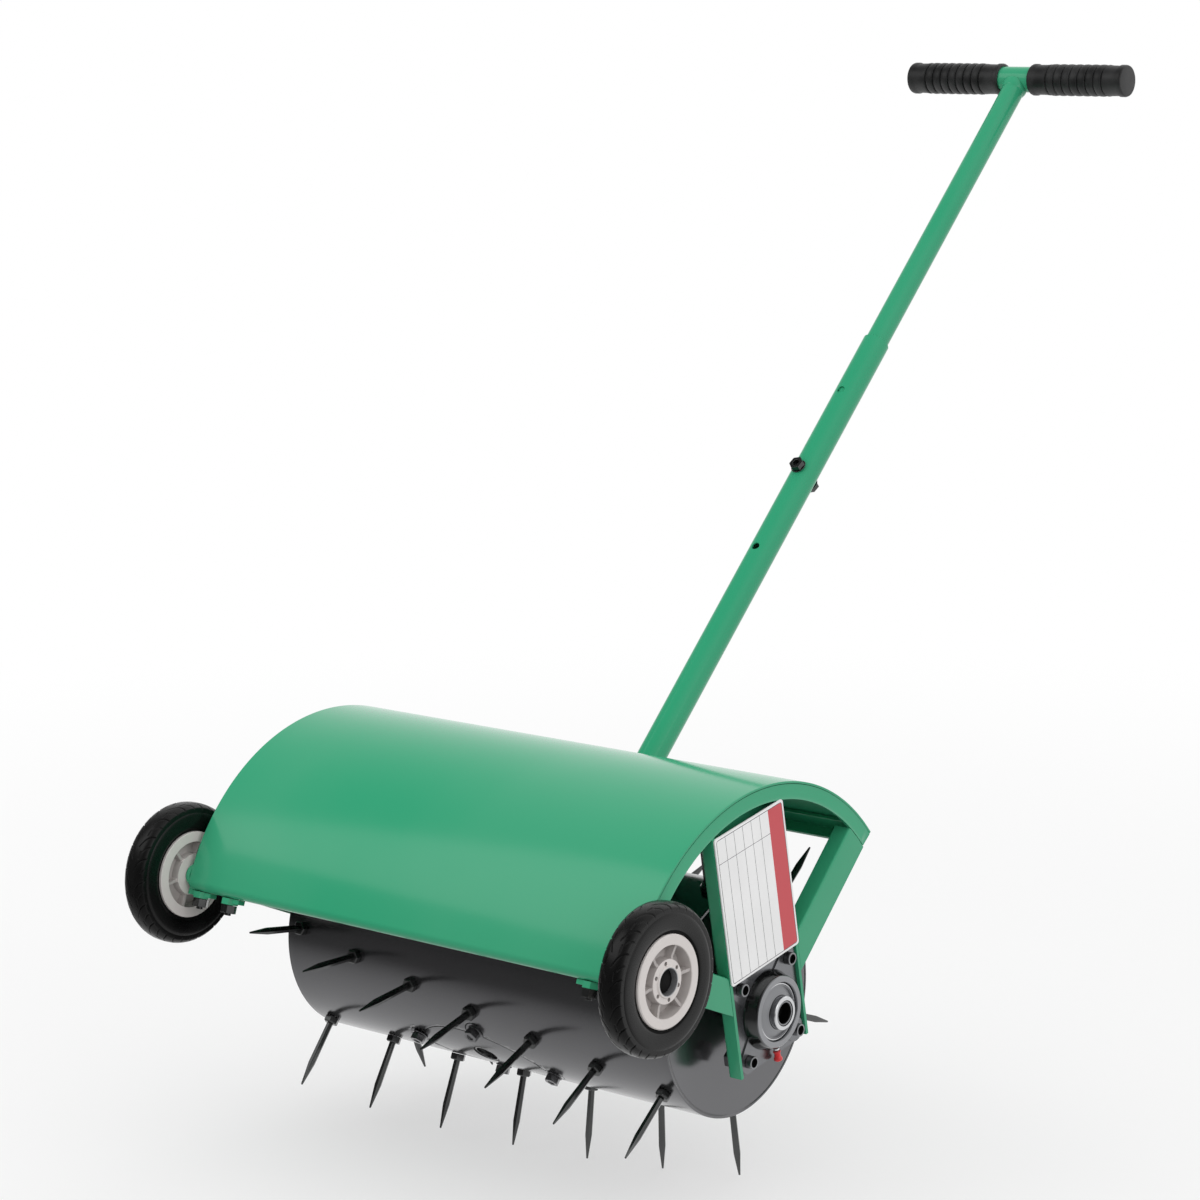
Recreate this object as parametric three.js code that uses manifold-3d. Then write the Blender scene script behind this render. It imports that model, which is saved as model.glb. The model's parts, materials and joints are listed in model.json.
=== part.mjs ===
// Rolling spike aerator for lawns: a hand-pushed drum with six helical rows of spikes, turning in two
// flanged bearings under a rolled sheet hood, with two transport wheels at the front and a telescopic
// handle at the back. It stands in its rolling pose, on the spikes, with the wheels raised.
//
// Each piece is drawn in the machine's own frame: x along the drum's axis towards the right-hand end,
// z up the bearing struts, y to the back, and the drum's axis through zero. The whole machine is then
// leant forward and set down. Lengths are in millimetres and angles in degrees. An angle around the
// drum is measured from the struts towards the wheels, so the handle's angle is negative.
import * as THREE from "three";
import { mergeVertices } from "three/addons/utils/BufferGeometryUtils.js";
import Module from "manifold-3d";

// The whole machine
const LEAN = 11.2; // of the bearing struts, towards the wheels
const CLEARANCE = 0.3; // between pieces that touch
const HOLE_CLEARANCE = 0.7; // between a bolt and its hole
const STEEL_THICKNESS = 3; // of struts, arms, rims and bars

// Drum
const DRUM_RADIUS = 95.2;
const DRUM_LENGTH = 416;
const DRUM_END_THICKNESS = 4;
const SHAFT_RADIUS = 10;
const SHAFT_RECESS = 10; // of the shaft's end in the bearing's bore

// Spikes
const SPIKE_ROWS = 6;
const SPIKES_PER_ROW = 7;
const SPIKE_MARGIN = 17.5; // of the outermost spikes, from the drum's ends
const ROW_TWIST = 48.2; // from the first to the last spike of a row
const FIRST_ROW_ANGLE = 34.8; // at mid-length
const SPIKE_REACH = 160.6; // of the tip, from the drum's axis
const SPIKE_COLLAR_FLATS = 11.4;
const SPIKE_COLLAR_HEIGHT = 5.6;
const SPIKE_RADIUS = 2.95; // at the collar
const SPIKE_WIDEST_RADIUS = 3.2;
const SPIKE_WIDEST_SHARE = 0.68; // of the spike's length, where its point begins
const SPIKE_STUD_RADIUS = 3;
const STRIP_WIDTH = 15; // the tapped strip behind each row
const STRIP_THICKNESS = 4;

// Filling hatch, in the drum's shell
const HATCH_OFFSET = -8; // of its centre, along the drum
const HATCH_ANGLE = 127.5;
const HATCH_SKEW = 7.8; // of its long axis, along the spike rows
const HATCH_LENGTH = 126;
const HATCH_WIDTH = 58;
const HATCH_EAR_RADIUS = 8.5; // round each bolt
const HATCH_BOLT_SPANS = [139, 64]; // between opposite bolts
const HATCH_SEAM = 0.8;
const HATCH_BOLT_FLATS = 11;
const HATCH_BOLT_HEIGHT = 7;
const HATCH_BOLT_RADIUS = 2.6;
const FILL_HOLE_RADIUS = 12;
const PLUG_THICKNESS = 5;

// Hood
const HOOD_RADIUS = 188.3; // of its outside
const HOOD_FORWARD = 4; // of its centre, ahead of the drum's axis
const HOOD_DROP = 1; // of its centre, below the drum's axis
const HOOD_HALF_ANGLE = 60.4;
const SHEET_THICKNESS = 2;
const FRONT_BEND_RADIUS = 8;
const RIM_DEPTH = 14.6; // of the end rims and of the front lip, with the sheet
const RIM_LEG_DEPTH = 17;
const RIM_LEG_RELIEF = 10; // between its front end and the front lip
const REAR_BAR_LEG = 18; // under the hood

// Bearing struts and their arms
const STRUT_GAP = 19; // between the drum and the struts
const STRUT_WIDTH = 92;
const STRUT_DEPTH = 14;
const STRUT_FOOT = 41.5; // of the free end, below the drum's axis
const STRUT_NOTCH_WIDTH = 29;
const STRUT_NOTCH_DEPTH = 4;
const STRUT_BORE_RADIUS = 16;
const ARM_ANGLE = 55.8;
const ARM_WIDTH = 28;
const ARM_LEG_DEPTH = 15;
const LABEL_WIDTH = 91;
const LABEL_DROP = 6.7; // below the rim's inner edge
const LABEL_RISE = 7; // above the bearing's boss
const LABEL_THICKNESS = 1.4;
const LABEL_CORNER = 3;

// Flanged bearings
const BOLT_SPACING = 64;
const FLANGE_WIDTH = 85;
const FLANGE_CORNER = 12;
const FLANGE_THICKNESS = 9;
const HOUSING_RADIUS = 33;
const HOUSING_LIP_RADIUS = 29.5;
const HOUSING_HEIGHT = 20.8;
const OUTER_RACE_RADIUS = 22.3;
const INNER_RACE_RADIUS = 13.8;
const INNER_RACE_HEIGHT = 26.4;
const FLANGE_BOLT_RADIUS = 4.8;
const FLANGE_BOLT_HEAD_RADIUS = 5.6;
const FLANGE_BOLT_HEAD_HEIGHT = 5;
const FLANGE_BOLT_SOCKET_RADIUS = 3.3;
const FLANGE_NUT_FLATS = 15;
const FLANGE_NUT_HEIGHT = 7;
const NIPPLE_RADIUS = 2.4;
const NIPPLE_LENGTH = 5;
const GREASE_CAP_RADIUS = 3.6;
const GREASE_CAP_LENGTH = 8.6;
const NIPPLE_TILT = 4; // outwards, from the strut's direction

// Wheels
const AXLE_INSET = 9.3; // from the hood's outside
const AXLE_RISE = 12.4; // above the hood's front lip
const WHEEL_GAP = 5.6; // between the hood's end and the wheel
const WHEEL_WIDTH = 24.6;
const TYRE_RADIUS = 61;
const TYRE_WIDTH = 24;
const RIM_RADIUS = 37;
const RIM_RECESS_RADIUS = 28.4;
const HUB_RADIUS = 17.6;
const HUB_BORE_RADIUS = 10.5;
const RIM_RECESS_DEPTH = 7;
const WHEEL_RIBS = 6;
const WHEEL_RIB_WIDTH = 2.6;
const AXLE_RADIUS = 7.7;
const AXLE_LENGTH = 13;
const AXLE_CLEARANCE = 0.4; // between the axle and the wheel
const AXLE_CAP_RECESS = 3; // of the cap, in the hub
const BRACKET_THICKNESS = 4;
const BRACKET_WIDTH = 15;
const BRACKET_SETBACK = 7; // from the hood's outside
const BRACKET_TAB = 12.7; // from a bolt to the end of the plate under the lip
const BRACKET_BOSS_FLATS = 13; // of the hexagons on the plates
const BRACKET_BOSS_HEIGHT = 5.5;
const BRACKET_EYE_RADIUS = 9.5;
const BRACKET_BOLT_INSETS = [43, 9]; // from the hood's end
const BRACKET_BOLT_FLATS = 12;
const BRACKET_BOLT_DEPTH = 10.4; // from the hood's outside
const BRACKET_BOLT_RADIUS = 2.8;
const BRACKET_NUT_HEIGHT = 6.8;

// Handle
const HANDLE_ANGLE = -55.9;
const LOWER_TUBE_RADIUS = 12.6;
const UPPER_TUBE_RADIUS = 10.8;
const TUBE_WALL = 1.4;
const BOLT_DISTANCE = 528; // from the drum's axis to the middle one of three holes
const HOLE_PITCH = 92;
const HOLE_MARGIN = 67; // from the last hole to the lower tube's end
const HOLE_RADIUS = 3.7;
const HEIGHT_BOLT_RADIUS = 3.3;
const HEIGHT_BOLT_FLATS = 12;
const HEIGHT_BOLT_HEAD = 6;
const CROSS_TUBE_DISTANCE = 1024.1; // from the drum's axis
const CROSS_TUBE_RADIUS = 12.4;
const GRIP_START = 17; // from mid-length
const GRIP_LENGTH = 105;
const GRIP_RADIUS = 15.3;
const GRIP_NECK_RADIUS = 14.4;
const GRIP_END_WALL = 4;
const BASE_PLATE_WIDTH = 70;
const BASE_PLATE_REAR = 12.5; // behind the handle, round the hood
const BASE_PLATE_FRONT = 29.6; // ahead of it
const BASE_PLATE_THICKNESS = 3.5;
const BASE_COLLAR_FOOT_RADIUS = 19;
const BASE_COLLAR_RADIUS = 14.4; // at its upper end
const BASE_COLLAR_HEIGHT = 13;
const BASE_BOLT_OFFSET = 26;
const BASE_BOLT_ADVANCE = 14.8; // ahead of the handle, round the hood
const BASE_BOLT_RADIUS = 2.9;
const BASE_BOLT_FLATS = 10;
const BASE_BOLT_HEAD = 4.5;

// Facets
const FINE_FACETS = 40;
const ROUND_FACETS = 24;
const SMALL_FACETS = 12;
const ARC_STEPS = 24;

const HALF = 0.5;
const TURN = 2 * Math.PI;
const radians = THREE.MathUtils.degToRad;
const wasm = await Module();
wasm.setup();

// Solids

function solid(geometry) {
  const flat = geometry.index ? geometry.toNonIndexed() : geometry;
  const bare = new THREE.BufferGeometry();
  bare.setAttribute("position", flat.getAttribute("position"));
  const merged = mergeVertices(bare, 1e-4);
  const make = (triVerts) =>
    new wasm.Manifold(
      new wasm.Mesh({ numProp: 3, vertProperties: merged.attributes.position.array, triVerts }),
    );
  const triVerts = new Uint32Array(merged.index.array);
  const made = make(triVerts);
  return made.volume() < 0 ? make(triVerts.reverse()) : made;
}

function geometryOf(body) {
  const { vertProperties, triVerts, numProp } = body.getMesh();
  const positions = new Float32Array((vertProperties.length / numProp) * 3);
  for (let i = 0; i < positions.length / 3; i++) {
    for (let axis = 0; axis < 3; axis++) positions[3 * i + axis] = vertProperties[numProp * i + axis];
  }
  const geometry = new THREE.BufferGeometry();
  geometry.setAttribute("position", new THREE.BufferAttribute(positions, 3));
  geometry.setIndex(new THREE.BufferAttribute(new Uint32Array(triVerts), 1));
  geometry.computeVertexNormals();
  return geometry;
}

const joined = (first, ...others) => others.reduce((sum, body) => sum.add(body), first);
const cut = (first, ...others) => others.reduce((rest, body) => rest.subtract(body), first);

// A closed profile of [x, radius] pairs, turned about the x axis.
function turned(profile, facets = ROUND_FACETS) {
  const points = profile.map(([x, radius]) => new THREE.Vector2(radius, x));
  const onAxis = points[0].x === 0 && points.at(-1).x === 0;
  if (!onAxis) points.push(points[0].clone());
  return new THREE.LatheGeometry(points, facets).rotateZ(-TURN / 4);
}

// The same, turned about the z axis.
const turnedUp = (profile, facets) => turned(profile, facets).rotateY(-TURN / 4);

// The same, turned about the y axis.
const turnedBack = (profile, facets) => turned(profile, facets).rotateZ(TURN / 4);

const rod = (from, to, radius) => [[from, 0], [from, radius], [to, radius], [to, 0]];
const pipe = (from, to, inner, outer) => [[from, inner], [from, outer], [to, outer], [to, inner]];
const hexRadius = (flats) => flats / Math.sqrt(3);

// A closed outline of [y, z] pairs, drawn out from one x to another.
function prism(outline, from, to, holes = []) {
  const path = (points) => points.map(([y, z]) => new THREE.Vector2(y, z));
  const shape = new THREE.Shape(path(outline));
  for (const hole of holes) shape.holes.push(new THREE.Path(path(hole)));
  const turn = new THREE.Matrix4().makeBasis(
    new THREE.Vector3(0, 1, 0),
    new THREE.Vector3(0, 0, 1),
    new THREE.Vector3(1, 0, 0),
  );
  return new THREE.ExtrudeGeometry(shape, { depth: to - from, bevelEnabled: false })
    .applyMatrix4(turn)
    .translate(from, 0, 0);
}

const box = (lowX, highX, lowY, highY, lowZ, highZ) =>
  new THREE.BoxGeometry(highX - lowX, highY - lowY, highZ - lowZ).translate(
    (lowX + highX) * HALF,
    (lowY + highY) * HALF,
    (lowZ + highZ) * HALF,
  );

function circle(radius, facets = SMALL_FACETS, centre = [0, 0]) {
  return Array.from({ length: facets }, (_, i) => {
    const turn = (TURN * i) / facets;
    return [centre[0] + radius * Math.cos(turn), centre[1] + radius * Math.sin(turn)];
  });
}

function roundedBox(width, height, corner, centreZ = 0) {
  const points = [];
  const steps = 4;
  for (let side = 0; side < 4; side++) {
    const signY = side === 0 || side === 3 ? 1 : -1;
    const signZ = side < 2 ? 1 : -1;
    for (let i = 0; i <= steps; i++) {
      const turn = (TURN / 4) * (side + i / steps);
      points.push([
        signY * (width * HALF - corner) + corner * Math.cos(turn),
        centreZ + signZ * (height * HALF - corner) + corner * Math.sin(turn),
      ]);
    }
  }
  return points;
}

// The angle that a length along the hood takes up.
const hoodAngle = (length) => THREE.MathUtils.radToDeg(length / HOOD_RADIUS);

// A point [y, z] at a distance and an angle from the drum's axis, or from the hood's centre.
const around = (distance, angle) => [
  -distance * Math.sin(radians(angle)),
  distance * Math.cos(radians(angle)),
];
const onHood = (distance, angle) => {
  const [y, z] = around(distance, angle);
  return [y - HOOD_FORWARD, z - HOOD_DROP];
};

// A point [y, z] beside the line at an angle from the hood's centre: out along it, and on past it.
function besideHood(out, past, angle) {
  const [y, z] = onHood(out, angle);
  return [y - past * Math.cos(radians(angle)), z - past * Math.sin(radians(angle))];
}

function arc(distance, from, to, steps = ARC_STEPS) {
  const at = (i) => onHood(distance, from + ((to - from) * i) / steps);
  return Array.from({ length: steps + 1 }, (_, i) => at(i));
}

const band = (inner, outer, from, to, steps) => [
  ...arc(outer, from, to, steps),
  ...arc(inner, to, from, steps),
];

// Placing

const aerator = new THREE.Group();
const machine = new THREE.Group();
machine.rotation.x = radians(LEAN);
aerator.add(machine);

function paint(color, roughness, metalness) {
  return new THREE.MeshStandardMaterial({ color, roughness, metalness });
}
const greenPaint = paint(0x46a57c, 0.42, 0.1);
const drumPaint = paint(0x3c3c3e, 0.45, 0.35);
const blackSteel = paint(0x1b1b1c, 0.4, 0.5);
const castIron = paint(0x2b2c2d, 0.5, 0.4);
const brightSteel = paint(0xb9bbbd, 0.25, 0.95);
const tyreRubber = paint(0x232323, 0.85, 0);
const wheelPlastic = paint(0xe1dad7, 0.5, 0);
const gripRubber = paint(0x202022, 0.7, 0);
const capPlastic = paint(0xd21e23, 0.5, 0);
const labelWhite = paint(0xf2f2f2, 0.5, 0);

function place(parent, name, shape, material, position = [0, 0, 0]) {
  const geometry = shape.isBufferGeometry ? shape : geometryOf(shape);
  const mesh = new THREE.Mesh(geometry, material);
  mesh.name = name;
  mesh.position.set(...position);
  parent.add(mesh);
  return mesh;
}

// Sizes that follow from the ones above

const drumHalf = DRUM_LENGTH * HALF;
const hoodHalf = drumHalf + STRUT_GAP + STRUT_DEPTH;
const hoodInside = HOOD_RADIUS - SHEET_THICKNESS;
const rimOuter = hoodInside - CLEARANCE;
const rimInner = HOOD_RADIUS - RIM_DEPTH;
const webFace = hoodHalf - STRUT_DEPTH + STEEL_THICKNESS; // the bearing's seat on the strut
const strutHalf = STRUT_WIDTH * HALF;
const boltHalf = BOLT_SPACING * HALF;
const shellInner = DRUM_RADIUS - STEEL_THICKNESS;
const spikePitch = (DRUM_LENGTH - 2 * SPIKE_MARGIN) / (SPIKES_PER_ROW - 1);
const twistPerLength = ROW_TWIST / ((SPIKES_PER_ROW - 1) * spikePitch);
const ends = { left: -1, right: 1 };
const wheelFace = hoodHalf + WHEEL_GAP;
const bracketBoltOffsets = BRACKET_BOLT_INSETS.map((inset) => hoodHalf - inset);
const lowerTubeTop = BOLT_DISTANCE + HOLE_PITCH + HOLE_MARGIN;
const holeDistances = [-1, 0, 1].map((step) => BOLT_DISTANCE + step * HOLE_PITCH);

// Drum

const drum = new THREE.Group();
machine.add(drum);

const spikePlaces = (row) =>
  Array.from({ length: SPIKES_PER_ROW }, (_, i) => {
    const x = (i - (SPIKES_PER_ROW - 1) * HALF) * spikePitch;
    return { x, angle: FIRST_ROW_ANGLE + (360 / SPIKE_ROWS) * row + x * twistPerLength };
  });

// Stands a shape drawn along z on the drum, at a distance along it and an angle around it.
const onDrum = (geometry, x, angle) => geometry.clone().rotateX(radians(angle)).translate(x, 0, 0);

const hatchFrame = (geometry) =>
  onDrum(geometry.rotateZ(radians(-HATCH_SKEW)), HATCH_OFFSET, HATCH_ANGLE);

// An oval column through the drum's skin at the hatch.
function hatchColumn(extra) {
  const outline = new THREE.Shape(
    new THREE.EllipseCurve(0, 0, HATCH_LENGTH * HALF + extra, HATCH_WIDTH * HALF + extra)
      .getPoints(ROUND_FACETS)
      .slice(0, -1),
  );
  const column = (shape) => {
    const geometry = new THREE.ExtrudeGeometry(shape, { depth: DRUM_RADIUS, bevelEnabled: false });
    return solid(hatchFrame(geometry.translate(0, 0, DRUM_RADIUS * HALF)));
  };
  const ears = hatchBoltPlaces.map((centre) => {
    const outline = circle(HATCH_EAR_RADIUS + extra, SMALL_FACETS, centre);
    return column(new THREE.Shape(outline.map(([x, y]) => new THREE.Vector2(x, y))));
  });
  return joined(column(outline), ...ears);
}

function shellRing() {
  return solid(turned(pipe(-drumHalf, drumHalf, shellInner, DRUM_RADIUS), FINE_FACETS));
}

// The ends and the middles of the sides of the oval's box, on the hatch's plan.
const hatchBoltPlaces = Array.from({ length: 4 }, (_, i) => {
  const turn = (TURN * i) / 4;
  return [HATCH_BOLT_SPANS[0] * HALF * Math.cos(turn), HATCH_BOLT_SPANS[1] * HALF * Math.sin(turn)];
});

// A column along the radius that leaves the drum's skin at [x, y] of the hatch's plan.
function hatchPost(profile, [x, y], facets) {
  const tilt = Math.asin(y / DRUM_RADIUS);
  const post = turnedUp(profile, facets).rotateX(-tilt).translate(x, 0, 0);
  return solid(hatchFrame(post));
}

function drumShell() {
  const holes = [];
  for (let row = 0; row < SPIKE_ROWS; row++) {
    for (const { x, angle } of spikePlaces(row)) {
      const radius = SPIKE_STUD_RADIUS + HOLE_CLEARANCE;
      const hole = turnedUp(rod(shellInner - STEEL_THICKNESS, DRUM_RADIUS * 1.05, radius), 6);
      holes.push(solid(onDrum(hole, x, angle)));
    }
  }
  return cut(shellRing(), hatchColumn(HATCH_SEAM), ...holes);
}

function hatchPlate() {
  const foot = shellInner + CLEARANCE;
  const seat = DRUM_RADIUS + CLEARANCE;
  const stud = rod(foot, seat + HATCH_BOLT_HEIGHT * HALF, HATCH_BOLT_RADIUS);
  const head = rod(seat, seat + HATCH_BOLT_HEIGHT, hexRadius(HATCH_BOLT_FLATS));
  const plate = shellRing().intersect(hatchColumn(0));
  const bolts = hatchBoltPlaces.flatMap((post) => [
    hatchPost(stud, post, 8),
    hatchPost(head, post, 6),
  ]);
  const hole = hatchPost(rod(foot * HALF, DRUM_RADIUS * 1.05, FILL_HOLE_RADIUS), [0, 0], 20);
  return cut(joined(plate, ...bolts), hole);
}

// One row of spikes on the strip that they are screwed into, which lies inside the drum's shell.
function spikeRow(row) {
  const seat = DRUM_RADIUS + CLEARANCE;
  const stripOuter = shellInner - CLEARANCE;
  const stripInner = stripOuter - STRIP_THICKNESS;
  const spikeLength = SPIKE_REACH - seat;
  const stud = [
    [stripInner + STRIP_THICKNESS * HALF, 0],
    [stripInner + STRIP_THICKNESS * HALF, SPIKE_STUD_RADIUS],
    [seat + SPIKE_COLLAR_HEIGHT * HALF, SPIKE_STUD_RADIUS],
    [seat + SPIKE_COLLAR_HEIGHT * HALF, SPIKE_RADIUS],
    [seat + spikeLength * SPIKE_WIDEST_SHARE, SPIKE_WIDEST_RADIUS],
    [SPIKE_REACH, 0],
  ];
  const collar = rod(seat, seat + SPIKE_COLLAR_HEIGHT, hexRadius(SPIKE_COLLAR_FLATS));
  const spike = turnedUp(stud, 6);
  const nut = turnedUp(collar, 6);
  const places = spikePlaces(row);
  const overhang = STRIP_WIDTH * HALF;
  const stations = [
    { x: places[0].x - overhang, angle: places[0].angle - overhang * twistPerLength },
    ...places.slice(1, -1),
    { x: places.at(-1).x + overhang, angle: places.at(-1).angle + overhang * twistPerLength },
  ];
  const halfAngle = THREE.MathUtils.radToDeg(STRIP_WIDTH * HALF / stripOuter);
  const sections = stations.map(({ x, angle }) =>
    [
      [stripInner, -1],
      [stripInner, 1],
      [stripOuter, 1],
      [stripOuter, -1],
    ].map(([distance, side]) => {
      const [y, z] = around(distance, angle + side * halfAngle);
      return [x, y, z];
    }),
  );
  const pieces = places.flatMap(({ x, angle }) => [
    solid(onDrum(spike, x, angle)),
    solid(onDrum(nut, x, angle)),
  ]);
  return joined(solid(loft(sections)), ...pieces);
}

// A closed skin through matching outlines, one after another.
function loft(sections) {
  const corners = sections[0].length;
  const positions = [];
  const triangle = (...points) => positions.push(...points.flat());
  for (let i = 1; i < sections.length; i++) {
    for (let j = 0; j < corners; j++) {
      const [before, after] = [sections[i - 1], sections[i]];
      const next = (j + 1) % corners;
      triangle(before[j], before[next], after[next]);
      triangle(before[j], after[next], after[j]);
    }
  }
  const [first, last] = [sections[0], sections.at(-1)];
  for (let j = 1; j < corners - 1; j++) {
    triangle(first[0], first[j + 1], first[j]);
    triangle(last[0], last[j], last[j + 1]);
  }
  const geometry = new THREE.BufferGeometry();
  geometry.setAttribute("position", new THREE.Float32BufferAttribute(positions, 3));
  return geometry;
}

place(drum, "drum_shell", drumShell(), drumPaint);
place(drum, "hatch_plate", hatchPlate(), drumPaint);
const plugTop = DRUM_RADIUS - HATCH_SEAM;
const plug = rod(plugTop - PLUG_THICKNESS, plugTop, FILL_HOLE_RADIUS - CLEARANCE);
place(drum, "fill_plug", hatchPost(plug, [0, 0], 20), blackSteel);
for (let row = 0; row < SPIKE_ROWS; row++) {
  place(drum, `spike_row_${row + 1}`, spikeRow(row), blackSteel);
}

const shaftHalf = webFace + INNER_RACE_HEIGHT - SHAFT_RECESS;
place(drum, "drum_shaft", turned(rod(-shaftHalf, shaftHalf, SHAFT_RADIUS), 20), brightSteel);

// Frame

const hood = [
  ...arc(
    HOOD_RADIUS,
    -HOOD_HALF_ANGLE,
    HOOD_HALF_ANGLE - hoodAngle(FRONT_BEND_RADIUS),
  ),
];
const bendSteps = 5;
const bend = (radius, step) => {
  const turn = ((TURN / 4) * step) / bendSteps;
  return besideHood(
    HOOD_RADIUS - FRONT_BEND_RADIUS + radius * Math.cos(turn),
    -FRONT_BEND_RADIUS + radius * Math.sin(turn),
    HOOD_HALF_ANGLE,
  );
};
for (let i = 1; i <= bendSteps; i++) hood.push(bend(FRONT_BEND_RADIUS, i));
hood.push(besideHood(rimInner, 0, HOOD_HALF_ANGLE));
hood.push(besideHood(rimInner, -SHEET_THICKNESS, HOOD_HALF_ANGLE));
for (let i = bendSteps; i >= 1; i--) hood.push(bend(FRONT_BEND_RADIUS - SHEET_THICKNESS, i));
hood.push(
  ...arc(
    hoodInside,
    HOOD_HALF_ANGLE - hoodAngle(FRONT_BEND_RADIUS),
    -HOOD_HALF_ANGLE,
  ),
);

// Holes in the front lip and the hood for the bolts, drawn in the frames of those bolts.
const lipAngle = HOOD_HALF_ANGLE;
const bracketOut = HOOD_RADIUS - BRACKET_BOLT_DEPTH;
function throughLip(profile, x, facets) {
  const [y, z] = besideHood(bracketOut, 0, lipAngle);
  return turnedUp(profile, facets).rotateX(radians(lipAngle) + TURN / 4).translate(x, y, z);
}
function throughHood(profile, x, facets) {
  const angle = HANDLE_ANGLE + hoodAngle(BASE_BOLT_ADVANCE);
  return turnedUp(profile, facets)
    .rotateX(radians(angle))
    .translate(x, -HOOD_FORWARD, -HOOD_DROP);
}

const hoodCuts = [];
for (const side of Object.values(ends)) {
  const bore = rod(-FRONT_BEND_RADIUS, FRONT_BEND_RADIUS, BRACKET_BOLT_RADIUS + HOLE_CLEARANCE);
  for (const offset of bracketBoltOffsets) hoodCuts.push(solid(throughLip(bore, side * offset, 8)));
  const hole = rod(hoodInside * 0.97, HOOD_RADIUS * 1.02, BASE_BOLT_RADIUS + HOLE_CLEARANCE);
  hoodCuts.push(solid(throughHood(hole, side * BASE_BOLT_OFFSET, 8)));
}
place(machine, "hood_sheet", cut(solid(prism(hood, -hoodHalf, hoodHalf)), ...hoodCuts), greenPaint);

// The rear bar: an angle between the rims, flush with their ends.
const barHalf = hoodHalf - STEEL_THICKNESS - CLEARANCE;
const barInnerHalf = hoodHalf - RIM_LEG_DEPTH - CLEARANCE;
const barAngle = -HOOD_HALF_ANGLE;
const barLeg = rimOuter - STEEL_THICKNESS;
const rearBar = (inner, outer, half) =>
  solid(
    prism(
      [
        besideHood(inner, 0, barAngle),
        besideHood(outer, 0, barAngle),
        besideHood(outer, STEEL_THICKNESS, barAngle),
        besideHood(inner, STEEL_THICKNESS, barAngle),
      ],
      -half,
      half,
    ),
  );
place(
  machine,
  "rear_bar",
  joined(
    rearBar(rimInner, barLeg - CLEARANCE, barHalf),
    rearBar(rimInner, rimOuter, barInnerHalf),
    solid(
      prism(
        band(barLeg, rimOuter, barAngle, barAngle + hoodAngle(REAR_BAR_LEG), 3),
        -barInnerHalf,
        barInnerHalf,
      ),
    ),
  ),
  greenPaint,
);

// One end of the frame, drawn for the right-hand end and mirrored for the left-hand one.

function rim() {
  const face = prism(
    band(rimInner, rimOuter, -HOOD_HALF_ANGLE, HOOD_HALF_ANGLE),
    hoodHalf - STEEL_THICKNESS,
    hoodHalf,
  );
  // The leg stops short of the hood's front bend.
  const leg = prism(
    band(barLeg, rimOuter, -HOOD_HALF_ANGLE, HOOD_HALF_ANGLE - hoodAngle(RIM_LEG_RELIEF)),
    hoodHalf - RIM_LEG_DEPTH,
    hoodHalf - STEEL_THICKNESS * HALF,
  );
  // The face keeps clear of the bend and of the lip, which run out to the end of the hood.
  const relief = prism(
    [
      besideHood(rimInner * 0.98, -SHEET_THICKNESS - CLEARANCE, HOOD_HALF_ANGLE),
      besideHood(bendInside, -SHEET_THICKNESS - CLEARANCE, HOOD_HALF_ANGLE),
      besideHood(hoodInside, bendInside - HOOD_RADIUS, HOOD_HALF_ANGLE),
      besideHood(HOOD_RADIUS * 1.02, FRONT_BEND_RADIUS, HOOD_HALF_ANGLE),
      besideHood(rimInner * 0.98, FRONT_BEND_RADIUS, HOOD_HALF_ANGLE),
    ],
    hoodHalf - RIM_LEG_DEPTH * 2,
    hoodHalf * 1.02,
  );
  return cut(joined(solid(face), solid(leg)), solid(relief));
}
const bendInside = HOOD_RADIUS - FRONT_BEND_RADIUS;

function strut() {
  const low = -STRUT_FOOT;
  const high = HOOD_RADIUS;
  const web = box(webFace - STEEL_THICKNESS, webFace, -strutHalf, strutHalf, low, high);
  const flange = (side) => {
    const edges = [side * strutHalf, side * (strutHalf - STEEL_THICKNESS)].sort((a, b) => a - b);
    return box(webFace - STEEL_THICKNESS, hoodHalf, ...edges, low, high);
  };
  const rimSpace = turned(
    pipe(hoodHalf - STEEL_THICKNESS - CLEARANCE, hoodHalf * 1.1, rimInner - CLEARANCE, HOOD_RADIUS * 1.3),
    FINE_FACETS * 2,
  ).translate(0, -HOOD_FORWARD, -HOOD_DROP);
  const legSpace = turned(
    pipe(0, hoodHalf, barLeg - 2 * CLEARANCE, HOOD_RADIUS * 1.3),
    FINE_FACETS * 2,
  ).translate(0, -HOOD_FORWARD, -HOOD_DROP);
  const notchHalf = STRUT_NOTCH_WIDTH * HALF;
  const notch = box(0, webFace * 1.1, -notchHalf, notchHalf, low * 1.1, low + STRUT_NOTCH_DEPTH);
  const bore = turned(rod(0, webFace * 1.1, STRUT_BORE_RADIUS), 24);
  const boltHoles = boltPlaces().map(([, y, z]) =>
    solid(turned(rod(0, webFace * 1.1, FLANGE_BOLT_RADIUS + HOLE_CLEARANCE), SMALL_FACETS).translate(0, y, z)),
  );
  return cut(
    joined(solid(web), solid(flange(-1)), solid(flange(1))),
    ...[rimSpace, legSpace, notch, bore].map(solid),
    ...boltHoles,
  );
}

function boltPlaces() {
  const places = [];
  for (const y of [-boltHalf, boltHalf]) {
    for (const z of [-boltHalf, boltHalf]) places.push([webFace, y, z]);
  }
  return places;
}

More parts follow.
